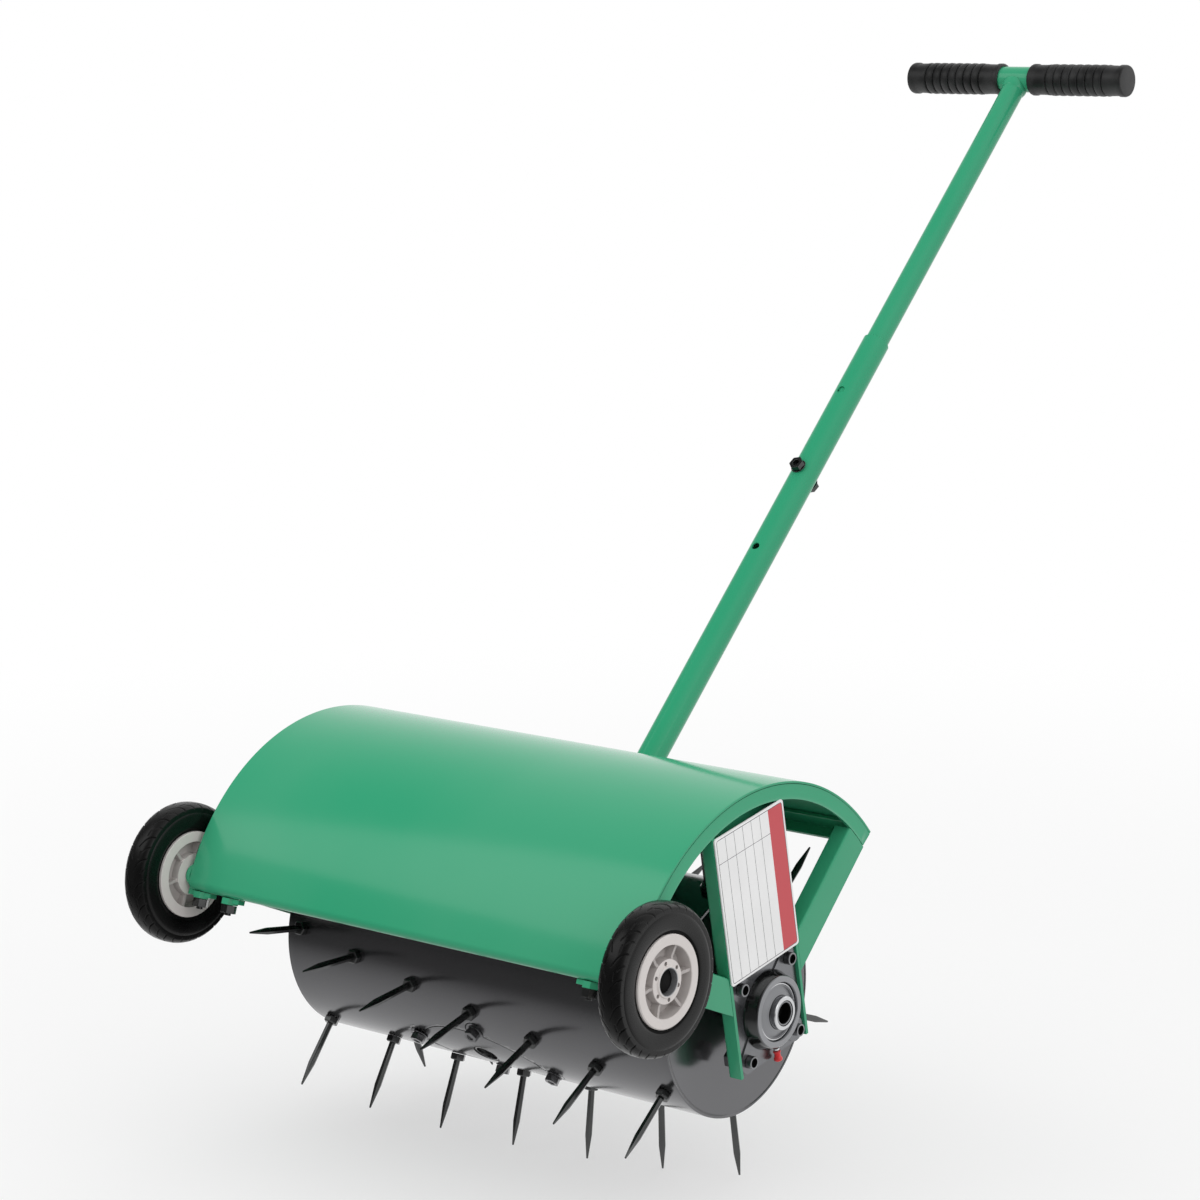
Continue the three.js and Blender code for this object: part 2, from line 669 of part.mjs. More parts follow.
// An angle iron from the strut's flange out to the end of the rim. Its leg faces the hood.
function arm(angle) {
  const towards = Math.sign(angle);
  const half = ARM_WIDTH * HALF;
  const along = (distance, offset) => {
    const [y, z] = around(distance, angle);
    const turn = radians(angle);
    return [y + offset * towards * Math.cos(turn), z + offset * towards * Math.sin(turn)];
  };
  const face = prism(
    [along(0, -half), along(0, half), along(HOOD_RADIUS, half), along(HOOD_RADIUS, -half)],
    hoodHalf - STEEL_THICKNESS,
    hoodHalf,
  );
  const inside = half - STEEL_THICKNESS;
  const leg = prism(
    [along(0, inside), along(0, half), along(HOOD_RADIUS, half), along(HOOD_RADIUS, inside)],
    hoodHalf - ARM_LEG_DEPTH,
    hoodHalf,
  );
  const beyondRim = turned(pipe(0, hoodHalf * 1.1, rimInner - CLEARANCE, HOOD_RADIUS * 1.3), FINE_FACETS * 2);
  beyondRim.translate(0, -HOOD_FORWARD, -HOOD_DROP);
  const strutEdge = strutHalf + CLEARANCE;
  const strutSpace = box(0, hoodHalf * 1.1, -strutEdge, strutEdge, -HOOD_RADIUS, HOOD_RADIUS);
  return cut(joined(solid(face), solid(leg)), solid(beyondRim), solid(strutSpace));
}

function label() {
  const foot = HOUSING_RADIUS + LABEL_RISE;
  const height = rimInner - LABEL_DROP - foot;
  const outline = roundedBox(LABEL_WIDTH, height, LABEL_CORNER, foot + height * HALF);
  const face = hoodHalf + CLEARANCE;
  return prism(outline, face, face + LABEL_THICKNESS);
}

function housing() {
  const seat = webFace + CLEARANCE;
  const holes = boltPlaces().map(([, y, z]) => circle(FLANGE_BOLT_RADIUS + HOLE_CLEARANCE, SMALL_FACETS, [y, z]));
  holes.push(circle(INNER_RACE_RADIUS + CLEARANCE, ROUND_FACETS));
  const plate = prism(
    roundedBox(FLANGE_WIDTH, FLANGE_WIDTH, FLANGE_CORNER),
    seat,
    seat + FLANGE_THICKNESS,
    holes,
  );
  const bore = INNER_RACE_RADIUS + CLEARANCE;
  const top = webFace + HOUSING_HEIGHT;
  const recess = 3.3;
  const lip = 2.5;
  const boss = turned([
    [seat, bore],
    [seat, HOUSING_RADIUS],
    [seat + FLANGE_THICKNESS, HOUSING_RADIUS],
    [top - recess, HOUSING_LIP_RADIUS + lip * HALF],
    [top, HOUSING_LIP_RADIUS],
    [top, HOUSING_LIP_RADIUS - lip],
    [top - recess, HOUSING_LIP_RADIUS - lip - CLEARANCE],
    [top - recess, OUTER_RACE_RADIUS],
    [top - recess * HALF, OUTER_RACE_RADIUS - CLEARANCE],
    [top - recess * HALF, OUTER_RACE_RADIUS - lip],
    [top, bore],
  ]);
  return joined(solid(plate), solid(boss));
}

const HEAD_SEAT = webFace + FLANGE_THICKNESS + 2 * CLEARANCE;

function flangeBolt() {
  const top = HEAD_SEAT + FLANGE_BOLT_HEAD_HEIGHT - webFace;
  const nutTop = -STEEL_THICKNESS - CLEARANCE;
  const profile = [
    [nutTop - FLANGE_NUT_HEIGHT * 1.2, 0],
    [nutTop - FLANGE_NUT_HEIGHT * 1.2, FLANGE_BOLT_RADIUS],
    [HEAD_SEAT - webFace, FLANGE_BOLT_RADIUS],
    [HEAD_SEAT - webFace, FLANGE_BOLT_HEAD_RADIUS],
    [top, FLANGE_BOLT_HEAD_RADIUS],
    [top, FLANGE_BOLT_SOCKET_RADIUS],
    [top - FLANGE_BOLT_HEAD_HEIGHT * 0.7, FLANGE_BOLT_SOCKET_RADIUS],
    [top - FLANGE_BOLT_HEAD_HEIGHT * 0.7, 0],
  ];
  const nut = turned(rod(nutTop - FLANGE_NUT_HEIGHT, nutTop, hexRadius(FLANGE_NUT_FLATS)), 6);
  return joined(solid(turned(profile, SMALL_FACETS)), solid(nut));
}

function greaseCap() {
  const nippleFoot = HOUSING_RADIUS + 2 * CLEARANCE;
  const nipple = turnedUp(rod(0, NIPPLE_LENGTH, NIPPLE_RADIUS), 8);
  const cap = turnedUp(
    [
      [NIPPLE_LENGTH * HALF, 0],
      [NIPPLE_LENGTH * HALF, GREASE_CAP_RADIUS],
      [NIPPLE_LENGTH * HALF + GREASE_CAP_LENGTH * 0.7, GREASE_CAP_RADIUS],
      [NIPPLE_LENGTH * HALF + GREASE_CAP_LENGTH, GREASE_CAP_RADIUS * 0.7],
      [NIPPLE_LENGTH * HALF + GREASE_CAP_LENGTH, 0],
    ],
    10,
  );
  // Turned to point past the strut's free end, and outwards by its tilt.
  const turn = TURN * HALF - radians(NIPPLE_TILT);
  const height = webFace + FLANGE_THICKNESS + GREASE_CAP_RADIUS + CLEARANCE;
  const body = joined(solid(nipple.rotateY(turn)), solid(cap.rotateY(turn)));
  return geometryOf(body).translate(height, 0, -nippleFoot);
}

// The wheel's axle stands out of a bracket under the hood's front lip.
const axleAt = besideHood(HOOD_RADIUS - AXLE_INSET, -AXLE_RISE, HOOD_HALF_ANGLE);

const bracketFace = hoodHalf + CLEARANCE;
const [clipOffset, bracketOffset] = bracketBoltOffsets;

// A plate under the front lip, from one x to another.
function lipPlate(low, high) {
  const near = HOOD_RADIUS - BRACKET_WIDTH;
  const far = HOOD_RADIUS - BRACKET_SETBACK;
  const foot = CLEARANCE + BRACKET_THICKNESS;
  const outline = [
    besideHood(near, CLEARANCE, lipAngle),
    besideHood(far, CLEARANCE, lipAngle),
    besideHood(far, foot, lipAngle),
    besideHood(near, foot, lipAngle),
  ];
  return prism(outline, low, high);
}

function plateBoss(offset) {
  const boss = rod(CLEARANCE, CLEARANCE + BRACKET_BOSS_HEIGHT, hexRadius(BRACKET_BOSS_FLATS));
  return throughLip(boss, offset, 6);
}

function bracket() {
  const near = HOOD_RADIUS - BRACKET_WIDTH;
  const far = HOOD_RADIUS - BRACKET_SETBACK;
  const foot = CLEARANCE + BRACKET_THICKNESS;
  const outFace = bracketFace + BRACKET_THICKNESS;
  const eye = prism(circle(BRACKET_EYE_RADIUS, 20, axleAt), bracketFace, outFace);
  const upright = prism(
    [
      besideHood(near, -BRACKET_EYE_RADIUS, lipAngle),
      besideHood(far, -BRACKET_EYE_RADIUS, lipAngle),
      besideHood(far, foot, lipAngle),
      besideHood(near, foot, lipAngle),
    ],
    bracketFace,
    outFace,
  );
  const stub = turned(rod(bracketFace, wheelFace + AXLE_LENGTH, AXLE_RADIUS), 20);
  stub.translate(0, ...axleAt);
  const plate = lipPlate(bracketOffset - BRACKET_TAB, outFace);
  const bore = rod(0, FRONT_BEND_RADIUS, BRACKET_BOLT_RADIUS + HOLE_CLEARANCE);
  const hole = solid(throughLip(bore, bracketOffset, 8));
  const pieces = [plate, eye, upright, stub, plateBoss(bracketOffset)];
  return cut(joined(...pieces.map(solid)), hole);
}

// The bolt next to the wheel holds the bracket. The other one has a plate and a boss of its own.
function bracketBolt(offset) {
  const seat = BRACKET_BOSS_HEIGHT + 2 * CLEARANCE;
  const under = -SHEET_THICKNESS - CLEARANCE;
  const pieces = [
    [rod(under - 1, seat + BRACKET_NUT_HEIGHT * 1.3, BRACKET_BOLT_RADIUS), 8],
    [rod(seat, seat + BRACKET_NUT_HEIGHT, hexRadius(BRACKET_BOLT_FLATS)), 6],
    [rod(under - BRACKET_BOLT_RADIUS, under, BRACKET_BOLT_RADIUS * 1.4), 8],
  ].map(([profile, facets]) => throughLip(profile, offset, facets));
  if (offset === clipOffset) pieces.push(lipPlate(offset - BRACKET_TAB, offset), plateBoss(offset));
  return joined(...pieces.map(solid));
}

function wheelRim() {
  const low = 0;
  const high = WHEEL_WIDTH;
  const floor = RIM_RECESS_DEPTH;
  const ceiling = WHEEL_WIDTH - RIM_RECESS_DEPTH;
  const bore = AXLE_RADIUS + AXLE_CLEARANCE;
  const counterbore = AXLE_LENGTH - CLEARANCE;
  const body = turned([
    [low, bore],
    [low, HUB_RADIUS],
    [floor, HUB_RADIUS],
    [floor, RIM_RECESS_RADIUS],
    [low, RIM_RECESS_RADIUS],
    [low, RIM_RADIUS],
    [high, RIM_RADIUS],
    [high, RIM_RECESS_RADIUS],
    [ceiling, RIM_RECESS_RADIUS],
    [ceiling, HUB_RADIUS],
    [high, HUB_RADIUS],
    [high, HUB_BORE_RADIUS],
    [counterbore, HUB_BORE_RADIUS],
    [counterbore, bore],
  ]);
  const halfRib = WHEEL_RIB_WIDTH * HALF;
  const overlap = 1;
  const ribs = Array.from({ length: WHEEL_RIBS }, (_, i) =>
    solid(
      box(
        overlap,
        high - overlap,
        -halfRib,
        halfRib,
        HUB_RADIUS - overlap,
        RIM_RECESS_RADIUS + overlap,
      ).rotateX((TURN * i) / WHEEL_RIBS - radians(LEAN)),
    ),
  );
  return joined(solid(body), ...ribs);
}

function tyre() {
  const half = TYRE_WIDTH * HALF;
  const bead = RIM_RADIUS + CLEARANCE;
  const wall = TYRE_RADIUS - bead;
  const profile = [
    [-half * 0.88, bead],
    [-half, bead + wall * 0.25],
    [-half, bead + wall * 0.6],
    [-half * 0.86, bead + wall * 0.82],
    [-half * 0.5, TYRE_RADIUS - wall * 0.035],
    [0, TYRE_RADIUS],
  ];
  const mirrored = profile.slice(0, -1).reverse().map(([x, radius]) => [-x, radius]);
  return turned([...profile, ...mirrored], ROUND_FACETS).translate(WHEEL_WIDTH * HALF, 0, 0);
}

function axleCap() {
  const radius = HUB_BORE_RADIUS - 2 * CLEARANCE;
  const length = WHEEL_WIDTH - AXLE_LENGTH - AXLE_CAP_RECESS;
  return turned(
    [
      [0, 0],
      [0, radius],
      [length * 0.45, radius],
      [length * 0.75, radius * 0.78],
      [length * 0.95, radius * 0.4],
      [length, 0],
    ],
    20,
  );
}

for (const [name, side] of Object.entries(ends)) {
  const end = new THREE.Group();
  end.scale.x = side;
  machine.add(end);
  place(end, `rim_${name}`, rim(), greenPaint);
  place(end, `bearing_strut_${name}`, strut(), greenPaint);
  place(end, `front_arm_${name}`, arm(ARM_ANGLE), greenPaint);
  place(end, `rear_arm_${name}`, arm(-ARM_ANGLE), greenPaint);
  place(end, `label_plate_${name}`, label(), labelWhite);
  place(end, `bearing_housing_${name}`, housing(), castIron);
  boltPlaces().forEach((at, i) => {
    place(end, `flange_bolt_${name}_${i + 1}`, flangeBolt(), blackSteel, at);
  });
  place(end, `grease_cap_${name}`, greaseCap(), capPlastic);
  place(end, `wheel_bracket_${name}`, bracket(), greenPaint);
  bracketBoltOffsets.forEach((offset, i) => {
    place(end, `bracket_bolt_${name}_${i + 1}`, bracketBolt(offset), blackSteel);
  });

  const wheel = new THREE.Group();
  wheel.position.set(wheelFace, ...axleAt);
  end.add(wheel);
  place(wheel, `wheel_rim_${name}`, wheelRim(), wheelPlastic);
  place(wheel, `tyre_${name}`, tyre(), tyreRubber);
  place(wheel, `axle_cap_${name}`, axleCap(), blackSteel, [AXLE_LENGTH + CLEARANCE, 0, 0]);

  const race = pipe(
    SHEET_THICKNESS,
    INNER_RACE_HEIGHT,
    SHAFT_RADIUS + CLEARANCE,
    INNER_RACE_RADIUS,
  );
  place(end, `inner_race_${name}`, turned(race), brightSteel, [webFace, 0, 0]);
  const drumEnd = pipe(
    drumHalf - DRUM_END_THICKNESS,
    drumHalf,
    SHAFT_RADIUS + CLEARANCE,
    shellInner - CLEARANCE,
  );
  place(end, `drum_end_${name}`, turned(drumEnd, FINE_FACETS), drumPaint);
}

// Handle: drawn up its own z axis from the drum's axis, and leant back.

const handle = new THREE.Group();
handle.rotation.x = radians(HANDLE_ANGLE);
machine.add(handle);

// The distance along the handle's axis at which it leaves the hood.
const handleDirection = around(1, HANDLE_ANGLE);
const centreAlong = -HOOD_FORWARD * handleDirection[0] - HOOD_DROP * handleDirection[1];
const centreSquared = HOOD_FORWARD ** 2 + HOOD_DROP ** 2;
const hoodCrossing = centreAlong + Math.sqrt(centreAlong ** 2 - centreSquared + HOOD_RADIUS ** 2);

function basePlate() {
  const low = HOOD_RADIUS + CLEARANCE;
  const high = low + BASE_PLATE_THICKNESS;
  const rear = HANDLE_ANGLE - hoodAngle(BASE_PLATE_REAR);
  const front = HANDLE_ANGLE + hoodAngle(BASE_PLATE_FRONT);
  const halfWidth = BASE_PLATE_WIDTH * HALF;
  const plate = solid(prism(band(low, high, rear, front, 5), -halfWidth, halfWidth));
  const foot = hoodCrossing + CLEARANCE + BASE_PLATE_THICKNESS * HALF;
  const bore = LOWER_TUBE_RADIUS + CLEARANCE;
  const collar = turnedUp(
    [
      [foot, bore],
      [foot, BASE_COLLAR_FOOT_RADIUS],
      [foot + BASE_COLLAR_HEIGHT * 0.3, BASE_COLLAR_RADIUS * 1.08],
      [foot + BASE_COLLAR_HEIGHT, BASE_COLLAR_RADIUS],
      [foot + BASE_COLLAR_HEIGHT, bore],
    ],
    24,
  ).rotateX(radians(HANDLE_ANGLE));
  const holes = Object.values(ends).map((side) =>
    solid(
      throughHood(
        rod(hoodInside, HOOD_RADIUS * 1.1, BASE_BOLT_RADIUS + HOLE_CLEARANCE),
        side * BASE_BOLT_OFFSET,
        8,
      ),
    ),
  );
  const tubeFoot = turnedUp(
    rod(tubeStart - CLEARANCE, lowerTubeTop, LOWER_TUBE_RADIUS + CLEARANCE),
    24,
  ).rotateX(radians(HANDLE_ANGLE));
  return cut(joined(plate, solid(collar)), solid(tubeFoot), ...holes);
}
const tubeStart = hoodCrossing + BASE_PLATE_THICKNESS + 2 * CLEARANCE;

function baseBolt(side) {
  const radius = hexRadius(BASE_BOLT_FLATS);
  const seat = HOOD_RADIUS + BASE_PLATE_THICKNESS + 2 * CLEARANCE;
  const nutTop = hoodInside - 2 * CLEARANCE;
  const parts = [
    [rod(nutTop - BASE_BOLT_HEAD * 1.3, seat + BASE_BOLT_HEAD * HALF, BASE_BOLT_RADIUS), 8],
    [rod(seat, seat + BASE_BOLT_HEAD, radius), 6],
    [rod(nutTop - BASE_BOLT_HEAD, nutTop, radius), 6],
  ];
  return joined(
    ...parts.map(([profile, facets]) =>
      solid(throughHood(profile, side * BASE_BOLT_OFFSET, facets)),
    ),
  );
}

function lowerTube() {
  const tube = turnedUp(
    pipe(tubeStart, lowerTubeTop, LOWER_TUBE_RADIUS - TUBE_WALL, LOWER_TUBE_RADIUS),
    24,
  );
  const holes = holeDistances.map((distance) =>
    solid(turnedBack(rod(-2 * LOWER_TUBE_RADIUS, 2 * LOWER_TUBE_RADIUS, HOLE_RADIUS), 10)
      .translate(0, 0, distance)),
  );
  return cut(solid(tube), ...holes);
}

function heightBolt() {
  const seat = LOWER_TUBE_RADIUS + CLEARANCE;
  const end = seat + HEIGHT_BOLT_HEAD;
  const parts = [
    [rod(-end, end * 1.1, HEIGHT_BOLT_RADIUS), 10],
    [rod(-end, -seat, hexRadius(HEIGHT_BOLT_FLATS)), 6],
    [rod(seat, end, hexRadius(HEIGHT_BOLT_FLATS)), 6],
  ];
  return joined(...parts.map(([profile, facets]) => solid(turnedBack(profile, facets))));
}

// The upper tube's foot rests on the height bolt.
function upperTube() {
  const foot = BOLT_DISTANCE + HEIGHT_BOLT_RADIUS + CLEARANCE;
  const tube = turnedUp(
    pipe(foot, CROSS_TUBE_DISTANCE, UPPER_TUBE_RADIUS - TUBE_WALL, UPPER_TUBE_RADIUS),
    24,
  );
  const saddle = turned(rod(-GRIP_START, GRIP_START, CROSS_TUBE_RADIUS + CLEARANCE), 24);
  return cut(solid(tube), solid(saddle.translate(0, 0, CROSS_TUBE_DISTANCE)));
}

function grip() {
  const end = GRIP_START + GRIP_LENGTH;
  const flange = 8;
  const inner = CROSS_TUBE_RADIUS + CLEARANCE;
  return turned(
    [
      [GRIP_START, inner],
      [GRIP_START, GRIP_RADIUS],
      [GRIP_START + flange, GRIP_RADIUS],
      [GRIP_START + flange + 2, GRIP_NECK_RADIUS],
      [GRIP_START + 2 * flange, GRIP_RADIUS],
      [end - 2 * flange, GRIP_RADIUS],
      [end - flange - 2, GRIP_NECK_RADIUS],
      [end - flange, GRIP_RADIUS],
      [end - CLEARANCE, GRIP_RADIUS],
      [end, GRIP_RADIUS - CLEARANCE],
      [end, 0],
      [end - GRIP_END_WALL, 0],
      [end - GRIP_END_WALL, inner],
    ],
    24,
  );
}

place(machine, "handle_base_plate", basePlate(), greenPaint);
for (const [name, side] of Object.entries(ends)) {
  place(machine, `base_bolt_${name}`, baseBolt(side), greenPaint);
}
place(handle, "lower_tube", lowerTube(), greenPaint);
place(handle, "height_bolt", heightBolt(), blackSteel, [0, 0, BOLT_DISTANCE]);
place(handle, "upper_tube", upperTube(), greenPaint);
const crossHalf = GRIP_START + GRIP_LENGTH - GRIP_END_WALL - CLEARANCE;
const crossTube = turned(
  pipe(-crossHalf, crossHalf, CROSS_TUBE_RADIUS - TUBE_WALL, CROSS_TUBE_RADIUS),
  24,
);
place(handle, "cross_tube", crossTube, greenPaint, [0, 0, CROSS_TUBE_DISTANCE]);
for (const [name, side] of Object.entries(ends)) {
  const hand = new THREE.Group();
  hand.scale.x = side;
  hand.position.z = CROSS_TUBE_DISTANCE;
  handle.add(hand);
  place(hand, `grip_${name}`, grip(), gripRubber);
}

// Set down on the spikes, with the origin under the middle of the whole.
aerator.updateMatrixWorld(true);
const bounds = new THREE.Box3().setFromObject(aerator, true);
machine.position.set(0, -(bounds.min.y + bounds.max.y) * HALF, -bounds.min.z);

export default aerator;
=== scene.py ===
"""Rolling spike aerator: the visible surfaces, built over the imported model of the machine.

Pieces are drawn in millimetres in the machine's own frame: x along the drum's axis to the
right-hand end, z up the bearing struts, y to the back, and the drum's axis through zero. The
machine leans forward, so each finished mesh is turned and set down in metres where the model has
it. An angle round the drum is in degrees, from the struts towards the wheels.
"""

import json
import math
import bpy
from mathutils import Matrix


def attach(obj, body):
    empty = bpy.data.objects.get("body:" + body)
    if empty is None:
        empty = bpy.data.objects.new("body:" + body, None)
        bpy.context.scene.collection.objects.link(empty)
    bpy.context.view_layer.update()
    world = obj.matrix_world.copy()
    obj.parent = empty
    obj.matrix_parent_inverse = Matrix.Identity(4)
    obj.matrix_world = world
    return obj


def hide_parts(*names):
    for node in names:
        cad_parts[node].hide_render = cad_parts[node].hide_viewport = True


bl_info = {
    "name": "Rolling Spike Aerator", "version": (1, 0, 0), "blender": (4, 5, 0),
    "location": "3D View > Sidebar > Aerator",
    "description": "Builds the surfaces and finishes of a lawn aerator with a spiked drum",
    "category": "Object",
}

import bmesh
import bpy
from bpy.props import FloatProperty, FloatVectorProperty, IntProperty, PointerProperty
from mathutils import Matrix, Vector

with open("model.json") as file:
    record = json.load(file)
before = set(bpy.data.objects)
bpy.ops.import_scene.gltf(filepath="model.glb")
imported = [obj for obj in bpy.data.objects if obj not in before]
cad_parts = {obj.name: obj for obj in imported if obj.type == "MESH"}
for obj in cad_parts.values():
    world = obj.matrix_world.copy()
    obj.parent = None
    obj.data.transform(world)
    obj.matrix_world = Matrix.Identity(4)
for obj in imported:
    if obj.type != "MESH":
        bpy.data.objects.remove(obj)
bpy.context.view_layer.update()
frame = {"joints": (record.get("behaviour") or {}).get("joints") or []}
joints = {joint["name"]: joint for joint in frame["joints"]}

# The machine's place
MM = 0.001
LEAN = 11.2  # of the struts, towards the wheels
HANDLE_ANGLE = -55.9
SIDES = {"left": -1, "right": 1}

# Drum
DRUM_RADIUS = 95.2
DRUM_HALF = 208
SHELL_THICKNESS = 3
DRUM_END_THICKNESS = 4
SHAFT_RADIUS = 10
SHAFT_END = 246.4
SHAFT_BORE_RADIUS = 7.3

# Spikes
SPIKE_ROWS = 6
SPIKES_PER_ROW = 7
SPIKE_PITCH = 63.5
SPIKE_TWIST = 48.2 / 6  # from one spike of a row to the next
FIRST_ROW_ANGLE = 34.8  # at mid-length
SPIKE_SEAT = DRUM_RADIUS + 0.3
SPIKE_TIP = 160.6  # from the drum's axis
SPIKE_LENGTH = SPIKE_TIP - SPIKE_SEAT
SPIKE_COLLAR_FLATS = 11.4
SPIKE_COLLAR_HEIGHT = 5.6

# Hatch
HATCH_OFFSET = -8
HATCH_ANGLE = 127.5
HATCH_SKEW = 7.8
HATCH_HALF_LENGTH = 63
HATCH_HALF_WIDTH = 29
HATCH_EAR_RADIUS = 8.5
HATCH_BOLTS = [(69.5, 0), (0, 32), (-69.5, 0), (0, -32)]  # on the hatch's plan
HATCH_SEAM = 0.8
HATCH_BOLT_FLATS = 11
HATCH_BOLT_HEIGHT = 7
FILL_HOLE_RADIUS = 12

# Hood
HOOD_RADIUS = 188.3
HOOD_CENTRE = (-4, -1)  # y and z, from the drum's axis
HOOD_HALF_ANGLE = 60.4
HOOD_HALF = 241
SHEET_THICKNESS = 2
FRONT_BEND_RADIUS = 8
GAP = 0.3  # between pieces that touch
STEEL_THICKNESS = 3
RIM_OUTER = HOOD_RADIUS - SHEET_THICKNESS - GAP
RIM_INNER = HOOD_RADIUS - 14.6
RIM_LEG_DEPTH = 17
RIM_RELIEF = 10  # from the lip to the end of the rim's upper leg
REAR_BAR_LEG = 18

# Struts and arms
STRUT_HALF = 46
STRUT_DEPTH = 14
STRUT_BEND = 4
STRUT_FOOT = -41.5
STRUT_NOTCH_HALF = 14.5
STRUT_NOTCH_DEPTH = 4
STRUT_BORE_RADIUS = 16
ARM_ANGLE = 55.8
ARM_HALF = 14
ARM_LEG_DEPTH = 15
LABEL_HALF_WIDTH = 45.5
LABEL_LOW = 40
LABEL_HEIGHT = 127
LABEL_THICKNESS = 1.4
LABEL_CORNER = 3
LABEL_BORDER = 2.2  # of the plate's edge, outside the printed line
LABEL_BAND = 18.5
LABEL_HEAD = 20
LABEL_COLUMNS = 6
LABEL_RULE_HALF = 0.22
LABEL_EDGE_HALF = 0.28

# Bearings
WEB_FACE = HOOD_HALF - STRUT_DEPTH + STEEL_THICKNESS
BOLT_SPACING = 64
FLANGE_HALF = 42.5
FLANGE_CORNER = 12
FLANGE_THICKNESS = 9
FLANGE_EAR_RADIUS = 10.2
FLANGE_EAR_ROOT = 13.5  # half the width of an ear's foot in the boss
FLANGE_HOLE_RADIUS = 5.4
FLANGE_NUT_FLATS = 15
HOUSING_RADIUS = 33
HOUSING_LIP_RADIUS = 29.5
HOUSING_HEIGHT = 20.8
OUTER_RACE_RADIUS = 22.3
INNER_RACE_RADIUS = 13.8
INNER_RACE_HEIGHT = 26.4
NIPPLE_INSET = FLANGE_THICKNESS + 3.9  # from the strut's web
NIPPLE_TILT = 4  # outwards

# Wheels
WHEEL_FACE = HOOD_HALF + 5.6
WHEEL_WIDTH = 24.6
AXLE_INSET = 9.3  # from the hood's outside
AXLE_RISE = 12.4  # above the hood's front lip
TYRE_RADIUS = 61
TYRE_WIDTH = 24
TREAD_HOOKS = [  # start and end across the half width, place and slant in a pitch, half width in mm
    (0.12, 0.98, 0.25, 0.62, 0.75),
    (0.55, 0.98, 0.72, 0.3, 0.6),
]
TREAD_SEAM = 0.42  # across the half width
RIM_RADIUS = 37
RIM_RECESS_RADIUS = 28.4
HUB_RADIUS = 17.6
HUB_BORE_RADIUS = 10.5
RIB_ANGLE = -23  # of the first rib, from upright
RIB_HALF = 1.25  # half its thickness
EYE_ANGLE = 8
EYE_DISTANCE = 14.6  # from the wheel's axis
EYE_RADIUS = 1.7
AXLE_RADIUS = 7.7
AXLE_LENGTH = 13
CAP_EDGE = 5.2  # straight part of the axle's cap
CAP_DOME = 3.4
BRACKET_THICKNESS = 4
BRACKET_WIDTH = 15
BRACKET_EYE_RADIUS = 9.5
BRACKET_BOLTS = [198, 232]
BRACKET_TAB = 12.7  # from a bolt to the end of the plate under the lip
BRACKET_SETBACK = 7  # of its strap, from the hood's outside
BRACKET_BOSS_FLATS = 13
BRACKET_BOSS_HEIGHT = 5.5
BRACKET_BOLT_DEPTH = 10.4
BRACKET_BOLT_FLATS = 12
BRACKET_BOLT_RADIUS = 2.8
BRACKET_NUT_HEIGHT = 6.8

# Handle
LOWER_TUBE_RADIUS = 12.6
LOWER_TUBE_TOP = 687
UPPER_TUBE_RADIUS = 10.8
TUBE_WALL = 1.4
HOLE_DISTANCES = [436, 528, 620]
BOLT_DISTANCE = 528
HOLE_RADIUS = 3.7
HEIGHT_BOLT_RADIUS = 3.3
HEIGHT_BOLT_FLATS = 12
CROSS_TUBE_DISTANCE = 1024.1
CROSS_TUBE_RADIUS = 12.4
GRIP_START = 17
GRIP_LENGTH = 105
GRIP_RADIUS = 15.3
GRIP_END = 4  # thickness of its closed end
BASE_PLATE_HALF = 35
BASE_PLATE_REAR = 12.5  # along the hood, from the handle's axis
BASE_PLATE_FRONT = 29.6
BASE_PLATE_THICKNESS = 3.5
BASE_BOLT_OFFSET = 26
BASE_BOLT_ADVANCE = 14.8
BASE_BOLT_FLATS = 10

# Stage, in metres
FLOOR_RADIUS = 30
FLOOR_GREY = 0.5  # as it lights the machine from below
SEEN_FLOOR_GREY = 0.84  # as the camera sees it, in the machine's shadow
LAMP_TARGET = (0, -0.1, 0.3)
LAMPS = [  # name, place, width and height, setting of its power
    ("key", (-1.6, -2.2, 2.6), (2.4, 2.0), "key_power"),
    ("fill", (2.8, -0.8, 1.4), (1.6, 1.6), "fill_power"),
    ("back", (0.2, 2.6, 2.4), (2.4, 1.4), "fill_power"),
]
CAMERA_PLACE = (1.816, -2.3816, 0.9495)
CAMERA_VIEW = (-0.6263, 0.7610, -0.1692)
FOCAL_LENGTH = 3402.1  # in pixels of a picture of this width
PICTURE_WIDTH = 1200


def turn(degrees, axis="X"):
    return Matrix.Rotation(math.radians(degrees), 4, axis)


def shift(x=0.0, y=0.0, z=0.0):
    return Matrix.Translation((x, y, z))


MACHINE = shift(*joints["drum_spin"]["pos_m"]) @ turn(LEAN) @ Matrix.Scale(MM, 4)
HANDLE = MACHINE @ turn(HANDLE_ANGLE)


def at_end(side, placed=MACHINE):
    """The placing of the right-hand end's pieces, mirrored for the left-hand end."""
    return placed @ Matrix.Diagonal((side, 1, 1, 1))


def linear(code):
    """The linear colour of a hexadecimal sRGB code."""
    parts = [int(code[i : i + 2], 16) / 255 for i in (0, 2, 4)]
    return [p / 12.92 if p <= 0.04045 else ((p + 0.055) / 1.055) ** 2.4 for p in parts]


# Points of the side view, as (y, z)


def around(distance, angle):
    a = math.radians(angle)
    return (-distance * math.sin(a), distance * math.cos(a))


def on_hood(out, angle):
    y, z = around(out, angle)
    return (y + HOOD_CENTRE[0], z + HOOD_CENTRE[1])


def beside_hood(out, past, angle=HOOD_HALF_ANGLE):
    """A point out along the hood's radius at an angle, and past it to the front."""
    y, z = on_hood(out, angle)
    a = math.radians(angle)
    return (y - past * math.cos(a), z - past * math.sin(a))


def hood_angle(length):
    return math.degrees(length / HOOD_RADIUS)


def arc(out, start, end, steps=96):
    return [on_hood(out, start + (end - start) * i / steps) for i in range(steps + 1)]


